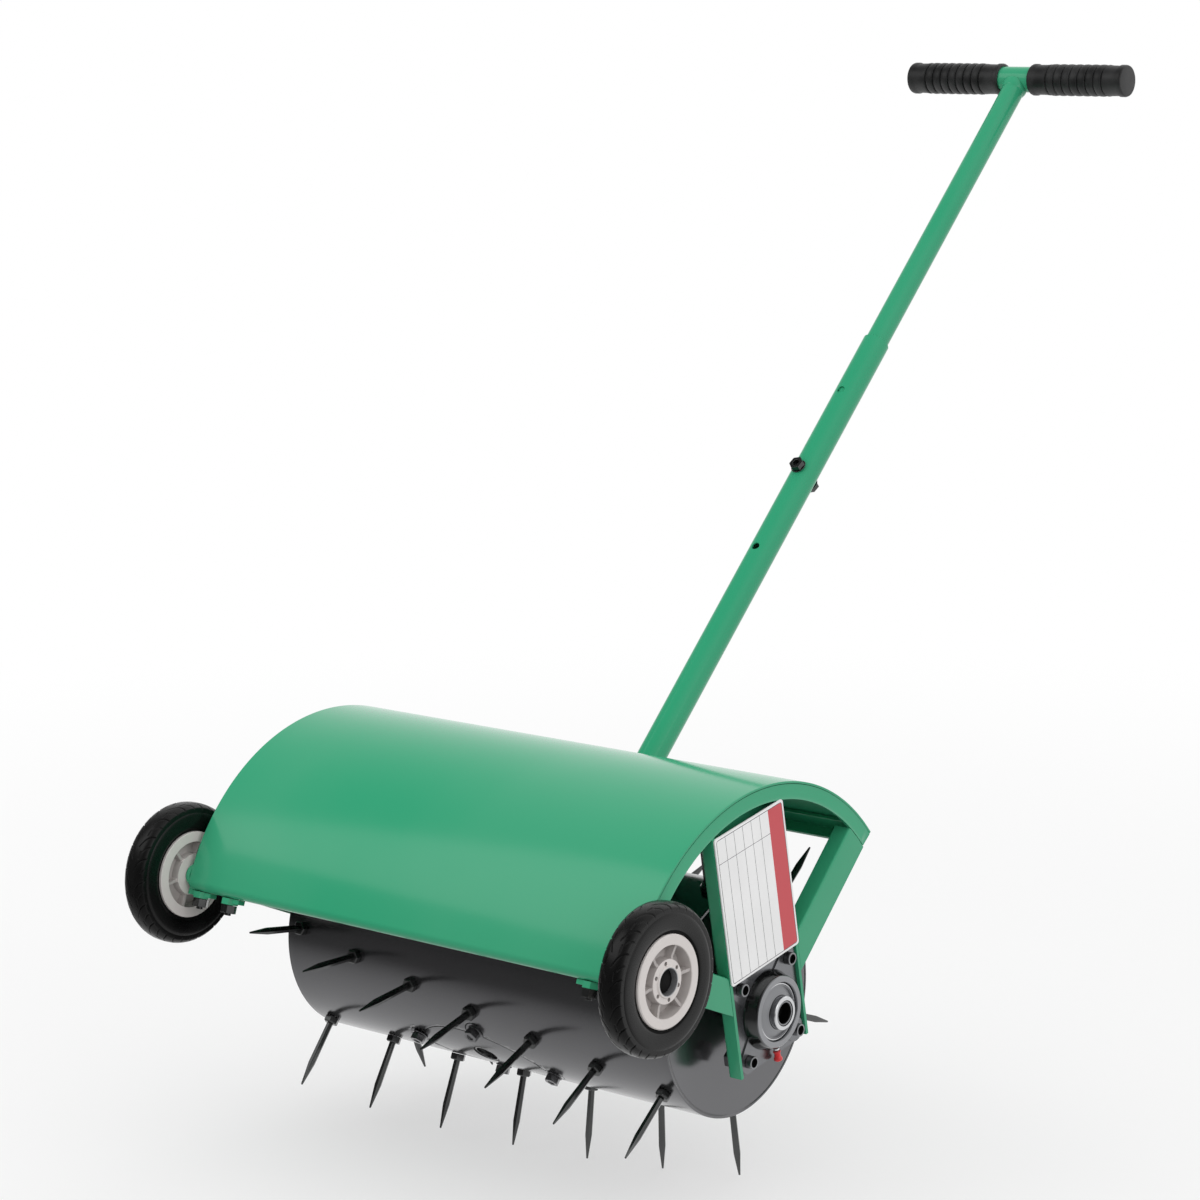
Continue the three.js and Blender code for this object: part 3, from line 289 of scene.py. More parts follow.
def circle(radius, facets, centre):
    turns = [math.tau * i / facets for i in range(facets)]
    return [(centre[0] + radius * math.cos(t), centre[1] + radius * math.sin(t)) for t in turns]


def rounded_box(half_width, half_height, corner, centre=(0, 0)):
    points = []
    steps = 8
    for side, (sx, sy) in enumerate([(1, 1), (-1, 1), (-1, -1), (1, -1)]):
        for i in range(steps + 1):
            t = math.tau / 4 * (side + i / steps)
            x = sx * (half_width - corner) + corner * math.cos(t)
            y = sy * (half_height - corner) + corner * math.sin(t)
            points.append((centre[0] + x, centre[1] + y))
    return points


def hex_radius(flats):
    return flats / math.sqrt(3)


AXLE = beside_hood(HOOD_RADIUS - AXLE_INSET, -AXLE_RISE)


# Building meshes


class Shape:
    """Closed surfaces under construction, in millimetres. Each drawing call returns the shape."""

    def __init__(self, placed=shift()):
        self.mesh = bmesh.new()
        self.finish = 0  # which of the piece's materials the next faces take
        self.placed = placed

    def corner(self, x, y, z):
        return self.mesh.verts.new(self.placed @ Vector((x, y, z)))

    def face(self, corners):
        corners = list(dict.fromkeys(corners))
        if len(corners) > 2:
            face = self.mesh.faces.new(corners)
            face.material_index = self.finish

    def loft(self, sections):
        """Skins matching outlines one after another, with a cap at each end."""
        rows = [[self.corner(*point) for point in section] for section in sections]
        count = len(rows[0])
        for before, after in zip(rows, rows[1:]):
            for i in range(count):
                j = (i + 1) % count
                self.face([before[i], before[j], after[j], after[i]])
        self.face(rows[0][::-1])
        self.face(rows[-1])
        return self

    def prism(self, outline, low, high):
        """An outline of (y, z) points, drawn from one x to another."""
        return self.loft([[(x, y, z) for y, z in outline] for x in (low, high)])

    def column(self, outline, low, high):
        """An outline of (x, y) points, drawn from one z to another."""
        return self.loft([[(x, y, z) for x, y in outline] for z in (low, high)])

    def box(self, x, y, z):
        return self.prism([(y[0], z[0]), (y[1], z[0]), (y[1], z[1]), (y[0], z[1])], *x)

    def turned(self, profile, facets, first=0.0):
        """A profile of (along, radius) points, turned about x. It closes on itself or the axis."""
        rings = []
        for along, radius in profile:
            steps = facets if radius > 0 else 1
            turns = [math.tau * (i + first) / facets for i in range(steps)]
            ring = [(along, -radius * math.sin(t), radius * math.cos(t)) for t in turns]
            rings.append([self.corner(*point) for point in ring])
        pairs = list(zip(rings, rings[1:]))
        if profile[0][1] > 0 or profile[-1][1] > 0:
            pairs.append((rings[-1], rings[0]))
        for before, after in pairs:
            for i in range(facets):
                j = (i + 1) % facets
                ends = [(before, i), (before, j), (after, j), (after, i)]
                self.face([ring[k % len(ring)] for ring, k in ends])
        return self

    def turned_about(self, axis, profile, facets, first):
        kept, self.placed = self.placed, self.placed @ axis
        self.turned(profile, facets, first)
        self.placed = kept
        return self

    def turned_up(self, profile, facets, first=0.0):
        """The same, turned about z."""
        return self.turned_about(turn(-90, "Y"), profile, facets, first)

    def turned_back(self, profile, facets, first=0.0):
        """The same, turned about y."""
        return self.turned_about(turn(90, "Z"), profile, facets, first)


def rod(low, high, radius):
    return [(low, 0), (low, radius), (high, radius), (high, 0)]


def pipe(low, high, inner, outer):
    return [(low, inner), (low, outer), (high, outer), (high, inner)]


def mesh_of(shape, name):
    surface = shape.mesh
    bmesh.ops.remove_doubles(surface, verts=surface.verts, dist=1e-4)
    bmesh.ops.recalc_face_normals(surface, faces=surface.faces)
    mesh = bpy.data.meshes.new(name)
    surface.to_mesh(mesh)
    surface.free()
    return mesh


def shape_of(mesh):
    """A shape that takes over a finished mesh."""
    shape = Shape()
    shape.mesh.from_mesh(mesh)
    bpy.data.meshes.remove(mesh)
    return shape


def settle(thing):
    """Leaves the object with the plain mesh that its modifiers make."""
    bpy.context.view_layer.update()
    graph = bpy.context.evaluated_depsgraph_get()
    evaluated = thing.evaluated_get(graph)
    mesh = bpy.data.meshes.new_from_object(
        evaluated, preserve_all_data_layers=True, depsgraph=graph
    )
    old = thing.data
    thing.modifiers.clear()
    thing.data = mesh
    mesh.name = thing.name
    if old.users == 0:
        bpy.data.meshes.remove(old)


def new_object(name, mesh):
    thing = bpy.data.objects.new(name, mesh)
    bpy.context.scene.collection.objects.link(thing)
    return thing


def discard(*things):
    for thing in things:
        mesh = thing.data
        bpy.data.objects.remove(thing)
        if mesh.users == 0:
            bpy.data.meshes.remove(mesh)


def combined(name, base, tools, operation):
    """A mesh of one shape cut, joined or trimmed by others."""
    thing = new_object(name, mesh_of(base, name))
    helpers = [new_object(name + "_tool", mesh_of(tool, name + "_tool")) for tool in tools]
    for helper in helpers:
        change = thing.modifiers.new("Cut", "BOOLEAN")
        change.operation = operation
        change.solver = "MANIFOLD"
        change.object = helper
    settle(thing)
    mesh = thing.data.copy()
    discard(thing, *helpers)
    mesh.name = name
    return mesh


def refinished(mesh, finish, chosen):
    """Gives another of a piece's materials to the faces chosen by their centre's x and radius."""
    for face in mesh.polygons:
        x, y, z = face.center
        if chosen(x, math.hypot(y, z)):
            face.material_index = finish
    return mesh


def finish_piece(
    name, shape, slot, finishes, body, nodes, placed=MACHINE, bevel=0.4, crease=32, chart=None
):
    """Places a shape as a piece of the machine, with softened edges, that stands for CAD nodes.

    The finishes are names of materials, in the order of the numbers that the shape's faces carry.
    Edges that turn by more than the crease's degrees get the bevel. The chart gives the place of a
    point on a printed face.
    """
    mesh = mesh_of(shape, name) if isinstance(shape, Shape) else shape
    if chart:
        layer = mesh.uv_layers.new(name="chart")
        for loop in mesh.loops:
            layer.data[loop.index].uv = chart(mesh.vertices[loop.vertex_index].co)
    mesh.transform(placed)
    if placed.determinant() < 0:
        mesh.flip_normals()
    chosen = [face.material_index for face in mesh.polygons]
    mesh.materials.clear()
    for finish in finishes:
        mesh.materials.append(finish_named(finish))
    if len(finishes) > 1:
        mesh.polygons.foreach_set("material_index", chosen)
    thing = new_object(name, mesh)
    mesh.polygons.foreach_set("use_smooth", [True] * len(mesh.polygons))
    if bevel:
        edges = thing.modifiers.new("Soft edges", "BEVEL")
        edges.width = bevel * MM
        edges.segments = 2
        edges.limit_method = "ANGLE"
        edges.angle_limit = math.radians(crease)
        edges.miter_outer = "MITER_ARC"
    shading = thing.modifiers.new("Flat faces", "WEIGHTED_NORMAL")
    shading.keep_sharp = True
    settle(thing)
    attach(thing, body)
    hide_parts(*nodes)


# Repeated pieces, by Geometry Nodes


def wire(tree, kind, inputs=None, **settings):
    """A node of a tree. An input is a value, or the output of another node."""
    node = tree.nodes.new(kind)
    for key, value in settings.items():
        setattr(node, key, value)
    for key, value in (inputs or {}).items():
        if isinstance(value, bpy.types.NodeSocket):
            tree.links.new(value, node.inputs[key])
        else:
            node.inputs[key].default_value = value
    return node


def geometry_tree(name, sizes):
    """A tree that takes a geometry and named sizes, and the sockets that give them out."""
    tree = bpy.data.node_groups.new(name, "GeometryNodeTree")
    tree.interface.new_socket("Geometry", in_out="INPUT", socket_type="NodeSocketGeometry")
    for label, kind in sizes.items():
        tree.interface.new_socket(label, in_out="INPUT", socket_type="NodeSocket" + kind)
    tree.interface.new_socket("Geometry", in_out="OUTPUT", socket_type="NodeSocketGeometry")
    return tree, tree.nodes.new("NodeGroupInput").outputs


def maths(tree, first, second=None, operation="ADD"):
    """A number worked out from one or two others."""
    values = {0: first} if second is None else {0: first, 1: second}
    return wire(tree, "ShaderNodeMath", values, operation=operation).outputs[0]


def vector_maths(tree, operation, first, second=None):
    """A vector worked out from one or two others, or its length or product, which is a number."""
    values = {0: first} if second is None else {0: first, 1: second}
    outputs = wire(tree, "ShaderNodeVectorMath", values, operation=operation).outputs
    return outputs["Value" if operation in ("LENGTH", "DOT_PRODUCT") else "Vector"]


def end_tree(tree, sockets, points, rotation):
    """Stands the piece on the points, turned, as one plain mesh of one material."""
    piece = wire(tree, "GeometryNodeObjectInfo", {"Object": sockets["Piece"], "As Instance": True})
    copies = wire(
        tree, "GeometryNodeInstanceOnPoints",
        {"Points": points, "Instance": piece.outputs["Geometry"], "Rotation": rotation},
    )
    plain = wire(tree, "GeometryNodeRealizeInstances", {"Geometry": copies.outputs["Instances"]})
    finish = wire(
        tree, "GeometryNodeSetMaterial",
        {"Geometry": plain.outputs["Geometry"], "Material": sockets["Finish"]},
    )
    out = tree.nodes.new("NodeGroupOutput")
    tree.links.new(finish.outputs["Geometry"], out.inputs["Geometry"])
    return tree


def point_line(tree, count, position):
    """Points, as many as the count, each moved to its own position."""
    line = wire(tree, "GeometryNodeMeshLine", {"Count": count, "Offset": (0, 0, 0)})
    moved = wire(
        tree, "GeometryNodeSetPosition", {"Geometry": line.outputs["Mesh"], "Position": position}
    )
    return moved.outputs["Geometry"]


def helix_tree():
    """Rows of copies on a drum. Each row winds round it as it goes along."""
    sizes = {
        "Rows": "Int", "Copies per Row": "Int", "Pitch": "Float", "Twist": "Float",
        "First Angle": "Float", "Radius": "Float", "Piece": "Object", "Finish": "Material",
    }
    tree, sockets = geometry_tree("Copies on a Drum", sizes)
    index = wire(tree, "GeometryNodeInputIndex").outputs[0]
    per_row = sockets["Copies per Row"]
    row = maths(tree, maths(tree, index, per_row, "DIVIDE"), operation="FLOOR")
    place = maths(tree, index, maths(tree, row, per_row, "MULTIPLY"), "SUBTRACT")
    middle = maths(tree, maths(tree, per_row, 1.0, "SUBTRACT"), 2.0, "DIVIDE")
    step = maths(tree, place, middle, "SUBTRACT")
    row_angle = maths(tree, maths(tree, row, math.tau, "MULTIPLY"), sockets["Rows"], "DIVIDE")
    angle = maths(tree, maths(tree, step, sockets["Twist"], "MULTIPLY"), row_angle)
    angle = maths(tree, angle, sockets["First Angle"])
    sine = maths(tree, angle, operation="SINE")
    cosine = maths(tree, angle, operation="COSINE")
    back = maths(tree, maths(tree, sine, sockets["Radius"], "MULTIPLY"), -1.0, "MULTIPLY")
    along = maths(tree, step, sockets["Pitch"], "MULTIPLY")
    up = maths(tree, cosine, sockets["Radius"], "MULTIPLY")
    position = wire(tree, "ShaderNodeCombineXYZ", {0: along, 1: back, 2: up}).outputs[0]
    count = maths(tree, sockets["Rows"], per_row, "MULTIPLY")
    rotation = wire(tree, "ShaderNodeCombineXYZ", {0: angle}).outputs[0]
    return end_tree(tree, sockets, point_line(tree, count, position), rotation)


def ring_tree():
    """Copies round the x axis, each turned to face outwards."""
    sizes = {"Count": "Int", "First Angle": "Float", "Piece": "Object", "Finish": "Material"}
    tree, sockets = geometry_tree("Copies in a Ring", sizes)
    index = wire(tree, "GeometryNodeInputIndex").outputs[0]
    share = maths(tree, maths(tree, index, math.tau, "MULTIPLY"), sockets["Count"], "DIVIDE")
    angle = maths(tree, share, sockets["First Angle"])
    points = point_line(tree, sockets["Count"], (0, 0, 0))
    rotation = wire(tree, "ShaderNodeCombineXYZ", {0: angle}).outputs[0]
    return end_tree(tree, sockets, points, rotation)


def corner_tree():
    """Copies at the four corners of a rectangle across the x axis."""
    sizes = {"Width": "Float", "Height": "Float", "Piece": "Object", "Finish": "Material"}
    tree, sockets = geometry_tree("Copies at Corners", sizes)
    index = wire(tree, "GeometryNodeInputIndex").outputs[0]
    upper = maths(tree, index, 1.5, "GREATER_THAN")
    outer = maths(tree, index, 2.0, "MODULO")
    halves = []
    for side, size in ((outer, "Width"), (upper, "Height")):
        halves.append(maths(tree, maths(tree, side, 0.5, "SUBTRACT"), sockets[size], "MULTIPLY"))
    position = wire(tree, "ShaderNodeCombineXYZ", {1: halves[0], 2: halves[1]}).outputs[0]
    return end_tree(tree, sockets, point_line(tree, 4, position), (0, 0, 0))


def repeated(name, tree, shape, finish, sizes, bevel=0.3):
    """The plain mesh, in millimetres, of the copies of a shape that a tree lays out."""
    piece = new_object(name + "_piece", mesh_of(shape, name + "_piece"))
    if bevel:
        edges = piece.modifiers.new("Soft edges", "BEVEL")
        edges.width = bevel
        edges.segments = 2
        edges.limit_method = "ANGLE"
        edges.angle_limit = math.radians(30)
        settle(piece)
    holder = new_object(name, bpy.data.meshes.new(name))
    layout = holder.modifiers.new("Layout", "NODES")
    layout.node_group = tree
    items = tree.interface.items_tree
    named = {item.name: item.identifier for item in items if item.in_out == "INPUT"}
    for label, value in {**sizes, "Piece": piece, "Finish": finish_named(finish)}.items():
        layout[named[label]] = value
    settle(holder)
    mesh = holder.data.copy()
    discard(holder, piece)
    return mesh


# Finishes


def blend_of(tree, share, first, second, kind="RGBA"):
    """Two colours, or two numbers, mixed by a share."""
    low, high, out = {"RGBA": (6, 7, 2), "FLOAT": (2, 3, 0)}[kind]
    mix = wire(tree, "ShaderNodeMix", {"Factor": share, low: first, high: second}, data_type=kind)
    return mix.outputs[out]


def ramp(tree, value, start, end, low=0.0, high=1.0):
    """A number that goes smoothly from low to high, as the value goes from start to end."""
    inputs = {"Value": value, "From Min": start, "From Max": end, "To Min": low, "To Max": high}
    kind = "ShaderNodeMapRange"
    return wire(tree, kind, inputs, interpolation_type="SMOOTHSTEP").outputs[0]


def shader_group(name, inputs, outputs):
    """An empty shader group with named sockets, and its input's outputs."""
    tree = bpy.data.node_groups.new(name, "ShaderNodeTree")
    for label, (kind, value) in inputs.items():
        socket = tree.interface.new_socket(label, in_out="INPUT", socket_type="NodeSocket" + kind)
        socket.default_value = value
    for label, kind in outputs.items():
        tree.interface.new_socket(label, in_out="OUTPUT", socket_type="NodeSocket" + kind)
    return tree, tree.nodes.new("NodeGroupInput").outputs, tree.nodes.new("NodeGroupOutput").inputs


def link_all(tree, values, sockets):
    for label, value in values.items():
        tree.links.new(value, sockets[label])


def bumps(tree, heights, distance):
    inputs = {"Strength": 1.0, "Distance": distance, "Height": heights}
    return wire(tree, "ShaderNodeBump", inputs).outputs[0]


def grain_group():
    """Fine grain and broad patches over a surface: a colour, a roughness and a normal."""
    if "Surface Grain" in bpy.data.node_groups:
        return bpy.data.node_groups["Surface Grain"]
    tree, given, outs = shader_group(
        "Surface Grain",
        {
            "Colour": ("Color", (0.5, 0.5, 0.5, 1)), "Patch Colour": ("Color", (0.5, 0.5, 0.5, 1)),
            "Patch Size": ("Float", 0.15), "Grain Size": ("Float", 0.002),
            "Grain Height": ("Float", 0.0001), "Roughness": ("Float", 0.4),
            "Roughness Spread": ("Float", 0.1),
        },
        {"Colour": "Color", "Roughness": "Float", "Normal": "Vector"},
    )
    place = wire(tree, "ShaderNodeTexCoord").outputs["Object"]
    noises = []
    for size, detail in (("Patch Size", 3.0), ("Grain Size", 2.0)):
        scale = maths(tree, 1.0, given[size], "DIVIDE")
        inputs = {"Vector": place, "Scale": scale, "Detail": detail}
        noises.append(wire(tree, "ShaderNodeTexNoise", inputs).outputs[0])
    patches, grains = noises
    share = ramp(tree, patches, 0.35, 0.65)
    colour = blend_of(tree, share, given["Colour"], given["Patch Colour"])
    both = maths(tree, maths(tree, patches, grains), 1.0, "SUBTRACT")
    change = maths(tree, both, given["Roughness Spread"], "MULTIPLY")
    rough = maths(tree, given["Roughness"], change)
    normal = bumps(tree, grains, given["Grain Height"])
    link_all(tree, {"Colour": colour, "Roughness": rough, "Normal": normal}, outs)
    return tree


def rings_group():
    """Fine turned rings round the drum's axis: a mask and a normal."""
    if "Turned Rings" in bpy.data.node_groups:
        return bpy.data.node_groups["Turned Rings"]
    tree, given, outs = shader_group(
        "Turned Rings", {"Spacing": ("Float", 0.0008), "Height": ("Float", 0.00002)},
        {"Mask": "Float", "Normal": "Vector"},
    )
    place = wire(tree, "ShaderNodeTexCoord").outputs["Object"]
    local = vector_maths(tree, "SUBTRACT", place, MACHINE.translation)
    flat = vector_maths(tree, "MULTIPLY", local, (0, 1, 1))
    radius = vector_maths(tree, "LENGTH", flat)
    turns = maths(tree, radius, given["Spacing"], "DIVIDE")
    inputs = {"W": turns, "Scale": 1.0, "Detail": 2.0}
    noise = wire(tree, "ShaderNodeTexNoise", inputs, noise_dimensions="1D").outputs[0]
    link_all(tree, {"Mask": noise, "Normal": bumps(tree, noise, given["Height"])}, outs)
    return tree


def new_material(name):
    """A new material, its tree and the inputs of its surface."""
    finish = bpy.data.materials.new(name)
    finish.use_nodes = True
    tree = finish.node_tree
    return finish, tree, tree.nodes["Principled BSDF"].inputs


def dress(tree, surface, colour, roughness, normal):
    looks = {"Base Color": colour, "Roughness": roughness, "Normal": normal}
    link_all(tree, looks, surface)


SOCKETS = {"metallic": "Metallic", "specular": "Specular IOR Level"}
WHITE, BLACK = (1, 1, 1), (0, 0, 0)
# painted shade: the brownish dark that the wheels' recess is mixed towards
RECESS_SHADE_TINT = (0.1, 0.085, 0.08)
# A colour or roughness in quotes is the setting of that name. A finish has patches, which are its
# colour mixed with the tint by the share. Patch, grain and height are in metres.
GRAINED = {
    "hood_green": {
        "colour": "green", "tint": WHITE, "share": 0.02, "roughness": "paint_roughness",
        "patch": 0.3, "grain": 0.0016, "height": 0.000015, "spread": 0.06, "specular": 0.32,
    },
    "drum_gloss": {
        "colour": "drum_grey", "tint": BLACK, "share": 0.1, "roughness": 0.2,
        "patch": 0.2, "grain": 0.0012, "height": 0.000005, "spread": 0.05, "metallic": 0.92,
    },
    "blackened_steel": {
        "colour": "black", "tint": WHITE, "share": 0.01, "roughness": 0.13,
        "patch": 0.02, "grain": 0.0008, "height": 0.000004, "metallic": 0.9,
    },
    "bush_steel": {  # painted shade: a darker half-metallic grey in the bore of a wheel's hub, which is moulded plastic
        "colour": linear("A6A7A9"), "tint": BLACK, "share": 0.1, "roughness": 0.3,
        "patch": 0.01, "grain": 0.0008, "height": 0.000004, "metallic": 0.5,
    },
    "dark_hollow": {  # painted shade: near-black and matte, for the inside of narrow bores, sockets and grooves, and the caps in the hubs
        "colour": linear("080808"), "tint": WHITE, "share": 0.004, "roughness": 0.7,
        "patch": 0.01, "grain": 0.0008, "height": 0.00001, "specular": 0.1,
    },
    "cast_paint": {
        "colour": "casting", "tint": WHITE, "share": 0.02, "roughness": 0.24,
        "patch": 0.03, "grain": 0.0011, "height": 0.00002, "metallic": 0.9,
    },
    "tyre_black": {
        "colour": "tyre", "tint": WHITE, "share": 0.003, "roughness": 0.28,
        "patch": 0.03, "grain": 0.0007, "height": 0.00002, "specular": 0.25,
    },
    "grip_black": {
        "colour": "grip", "tint": WHITE, "share": 0.015, "roughness": 0.45,
        "patch": 0.02, "grain": 0.0009, "height": 0.00004, "specular": 0.4,
    },
    "moulded_plastic": {
        "colour": "wheel", "tint": (0.2, 0.17, 0.16), "share": 0.05, "roughness": 0.42,
        "patch": 0.04, "grain": 0.0009, "height": 0.00003,
    },
    "dusty_plastic": {  # painted shade: the wheels' recess, darkened towards a brownish grey for the shade in it
        "colour": "wheel", "painted_shade": 0.35, "tint": RECESS_SHADE_TINT, "share": 0.15, "roughness": 0.6,
        "patch": 0.02, "grain": 0.0009, "height": 0.00003,
    },
    "cap_red": {
        "colour": "red", "tint": WHITE, "share": 0.03, "roughness": 0.35,
        "patch": 0.004, "grain": 0.0006, "height": 0.00002,
    },
    "label_print": {  # under its band and rules
        "colour": "label", "tint": BLACK, "share": 0.04, "roughness": 0.35,
        "patch": 0.05, "grain": 0.001, "height": 0.000008, "spread": 0.06,
    },
}
TURNED = {  # colour and roughness
    "polished_steel": ("C9CACC", 0.16),
    "shield_steel": ("7C7D80", 0.28),
    "machined_iron": ("88898C", 0.3),
}


def mixed(colour, other, share):
    return [c + (o - c) * share for c, o in zip(colour, other)]


def grain_of(tree, name):
    """The surface grain of a finish, set up from the table and the settings."""
    row = GRAINED[name]
    settings = bpy.context.scene.aerator_finishes
    colour, roughness = row["colour"], row["roughness"]
    colour = getattr(settings, colour) if isinstance(colour, str) else colour
    # painted shade: a finish's share of shade darkens its colour towards the recess's tint
    colour = mixed(colour, RECESS_SHADE_TINT, row.get("painted_shade", 0))
    values = {
        "Colour": (*colour, 1), "Patch Colour": (*mixed(colour, row["tint"], row["share"]), 1),
        "Patch Size": row["patch"], "Grain Size": row["grain"], "Grain Height": row["height"],
        "Roughness": getattr(settings, roughness) if isinstance(roughness, str) else roughness,
        "Roughness Spread": row.get("spread", 0.1),
    }
    return wire(tree, "ShaderNodeGroup", values, node_tree=grain_group()).outputs


def grained_finish(name):
    finish, tree, surface = new_material(name)
    grain = grain_of(tree, name)
    dress(tree, surface, grain["Colour"], grain["Roughness"], grain["Normal"])
    for key, socket in SOCKETS.items():
        if key in GRAINED[name]:
            surface[socket].default_value = GRAINED[name][key]
    return finish


def turned_finish(name):
    """Bright metal with the fine rings that a lathe leaves."""
    code, roughness = TURNED[name]
    colour = linear(code)
    finish, tree, surface = new_material(name)
    sizes = {"Spacing": 0.0006, "Height": 0.000003}
    rings = wire(tree, "ShaderNodeGroup", sizes, node_tree=rings_group()).outputs
    paler = (*mixed(colour, WHITE, 0.1), 1)
    tone = blend_of(tree, rings["Mask"], (*colour, 1), paler)
    rough = maths(tree, maths(tree, rings["Mask"], 0.12, "MULTIPLY"), roughness)
    dress(tree, surface, tone, rough, rings["Normal"])
    surface["Metallic"].default_value = 1.0
    return finish


def stripe(tree, value, centre, half_width):
    """1 where the value lies within the half width of the centre, and 0 elsewhere."""
    values = {0: value, 1: centre, 2: half_width}
    return wire(tree, "ShaderNodeMath", values, operation="COMPARE").outputs[0]


def label_finish(name):
    """A blank white label: a thin border, a plain red band and thin rules, drawn in millimetres."""
    finish, tree, surface = new_material(name)
    chart = wire(tree, "ShaderNodeUVMap", uv_map="chart").outputs[0]
    across, along, _ = wire(tree, "ShaderNodeSeparateXYZ", {0: chart}).outputs
    corner = LABEL_BORDER
    half_width, half_height = LABEL_HALF_WIDTH - LABEL_BORDER, LABEL_HEIGHT / 2 - LABEL_BORDER
    size = vector_maths(tree, "ABSOLUTE", chart)
    beyond = vector_maths(tree, "SUBTRACT", size, (half_width - corner, half_height - corner, 0))
    beyond = vector_maths(tree, "MAXIMUM", beyond, (0, 0, 0))
    distance = vector_maths(tree, "LENGTH", beyond)
    inside = maths(tree, distance, corner, "LESS_THAN")
    band_edge = half_width - LABEL_BAND
    band = maths(tree, across, band_edge, "GREATER_THAN")
    band = maths(tree, band, inside, "MULTIPLY")
    rules = stripe(tree, along, half_height - LABEL_HEAD, LABEL_RULE_HALF)
    pitch = (band_edge + half_width) / LABEL_COLUMNS
    for i in range(1, LABEL_COLUMNS):
        rule = stripe(tree, across, band_edge - i * pitch, LABEL_RULE_HALF)
        rules = maths(tree, rules, rule, "MAXIMUM")
    off_band = maths(tree, 1.0, band, "SUBTRACT")
    rules = maths(tree, maths(tree, rules, inside, "MULTIPLY"), off_band, "MULTIPLY")
    edge = stripe(tree, distance, corner, LABEL_EDGE_HALF)
    rules = maths(tree, rules, edge, "MAXIMUM")
    grain = grain_of(tree, name)
    colour = grain["Colour"]
    for mask, ink in ((band, (*linear("CC4850"), 1)), (rules, (*linear("4A4A4E"), 1))):
        colour = blend_of(tree, mask, colour, ink)
    dress(tree, surface, colour, grain["Roughness"], grain["Normal"])
    return finish


def finish_named(name):
    """The material of that name, made when it is first asked for."""
    if name in bpy.data.materials:
        return bpy.data.materials[name]
    if name in TURNED:
        return turned_finish(name)
    return label_finish(name) if name == "label_print" else grained_finish(name)


# Settings


def colour_property(name, code, description):
    return FloatVectorProperty(
        name=name, description=description, default=linear(code), subtype="COLOR", min=0, max=1
    )


class AeratorFinishes(bpy.types.PropertyGroup):
    green: colour_property("Green Paint", "30A075", "Paint of the hood, frame and handle")
    drum_grey: colour_property("Drum Paint", "717173", "Paint of the drum's shell and ends")
    black: colour_property("Blackened Steel", "4A4B4B", "Spikes and bolts")
    casting: colour_property("Casting Paint", "76777A", "Bearing housings")
    tyre: colour_property("Tyre Rubber", "070707", "Tyres")
    grip: colour_property("Grip Rubber", "1A1A1B", "Handle grips")
    wheel: colour_property("Wheel Plastic", "DED8D5", "Moulded wheel rims")
    red: colour_property("Red Caps", "D21E23", "Caps of the grease nipples")
    label: colour_property("Label Face", "FAFAFA", "Blank face of the labels")
    paint_roughness: FloatProperty(
        name="Paint Roughness", description="Roughness of the green paint", default=0.16, min=0,
        max=1, subtype="FACTOR",
    )


class AeratorSizes(bpy.types.PropertyGroup):
    spike_width: FloatProperty(
        name="Spike Width", description="Widest width of a spike, in millimetres", default=6.4,
        min=4, max=12,
    )
    tread_pitches: IntProperty(
        name="Tread Pitches", description="How many times the tread repeats round a tyre",
        default=18, min=8, max=40,
    )
    tread_depth: FloatProperty(
        name="Tread Depth", description="Depth of the grooves, in millimetres",
        default=1.3, min=0, max=4,
    )
    wheel_ribs: IntProperty(
        name="Wheel Ribs", description="Ribs between a wheel's hub and rim",
        default=6, min=3, max=12,
    )
    grip_grooves: IntProperty(
        name="Grip Grooves", description="Grooves round each grip", default=8, min=2, max=16
    )
    groove_pitch: FloatProperty(
        name="Groove Pitch", description="Distance between the grooves of a grip, in millimetres",
        default=8.9, min=2, max=20,
    )


class AeratorStage(bpy.types.PropertyGroup):
    key_power: FloatProperty(
        name="Key Light", description="Power of the large light at the left, in watts",
        default=20, min=0,
    )
    fill_power: FloatProperty(
        name="Fill Light", description="Power of the light at the right, in watts", default=7, min=0
    )
    sky: FloatProperty(
        name="Sky", description="Strength of the even light all round", default=0.95, min=0, max=4
    )


# Hood and frame


class AERATOR_OT_hood(bpy.types.Operator):
    """Rolls the hood's sheet, with its front edge turned in to a lip"""

    bl_idname = "aerator.hood"
    bl_label = "Hood"

    def execute(self, context):
        bend_start = HOOD_HALF_ANGLE - hood_angle(FRONT_BEND_RADIUS)
        inside = HOOD_RADIUS - SHEET_THICKNESS
        turns = [math.tau / 4 * i / 10 for i in range(1, 11)]

        def bend(radius, t):
            out = HOOD_RADIUS - FRONT_BEND_RADIUS + radius * math.cos(t)
            return beside_hood(out, -FRONT_BEND_RADIUS + radius * math.sin(t))

        outline = arc(HOOD_RADIUS, -HOOD_HALF_ANGLE, bend_start, 144)
        outline += [bend(FRONT_BEND_RADIUS, t) for t in turns]
        outline += [beside_hood(RIM_INNER, 0), beside_hood(RIM_INNER, -SHEET_THICKNESS)]
        outline += [bend(FRONT_BEND_RADIUS - SHEET_THICKNESS, t) for t in reversed(turns)]
        outline += arc(inside, bend_start, -HOOD_HALF_ANGLE, 144)
        shape = Shape().prism(outline, -HOOD_HALF, HOOD_HALF)
        finish_piece(
            "hood", shape, "green_paint", ["hood_green"], "frame", ["hood_sheet"], bevel=0.5
        )
        return {"FINISHED"}


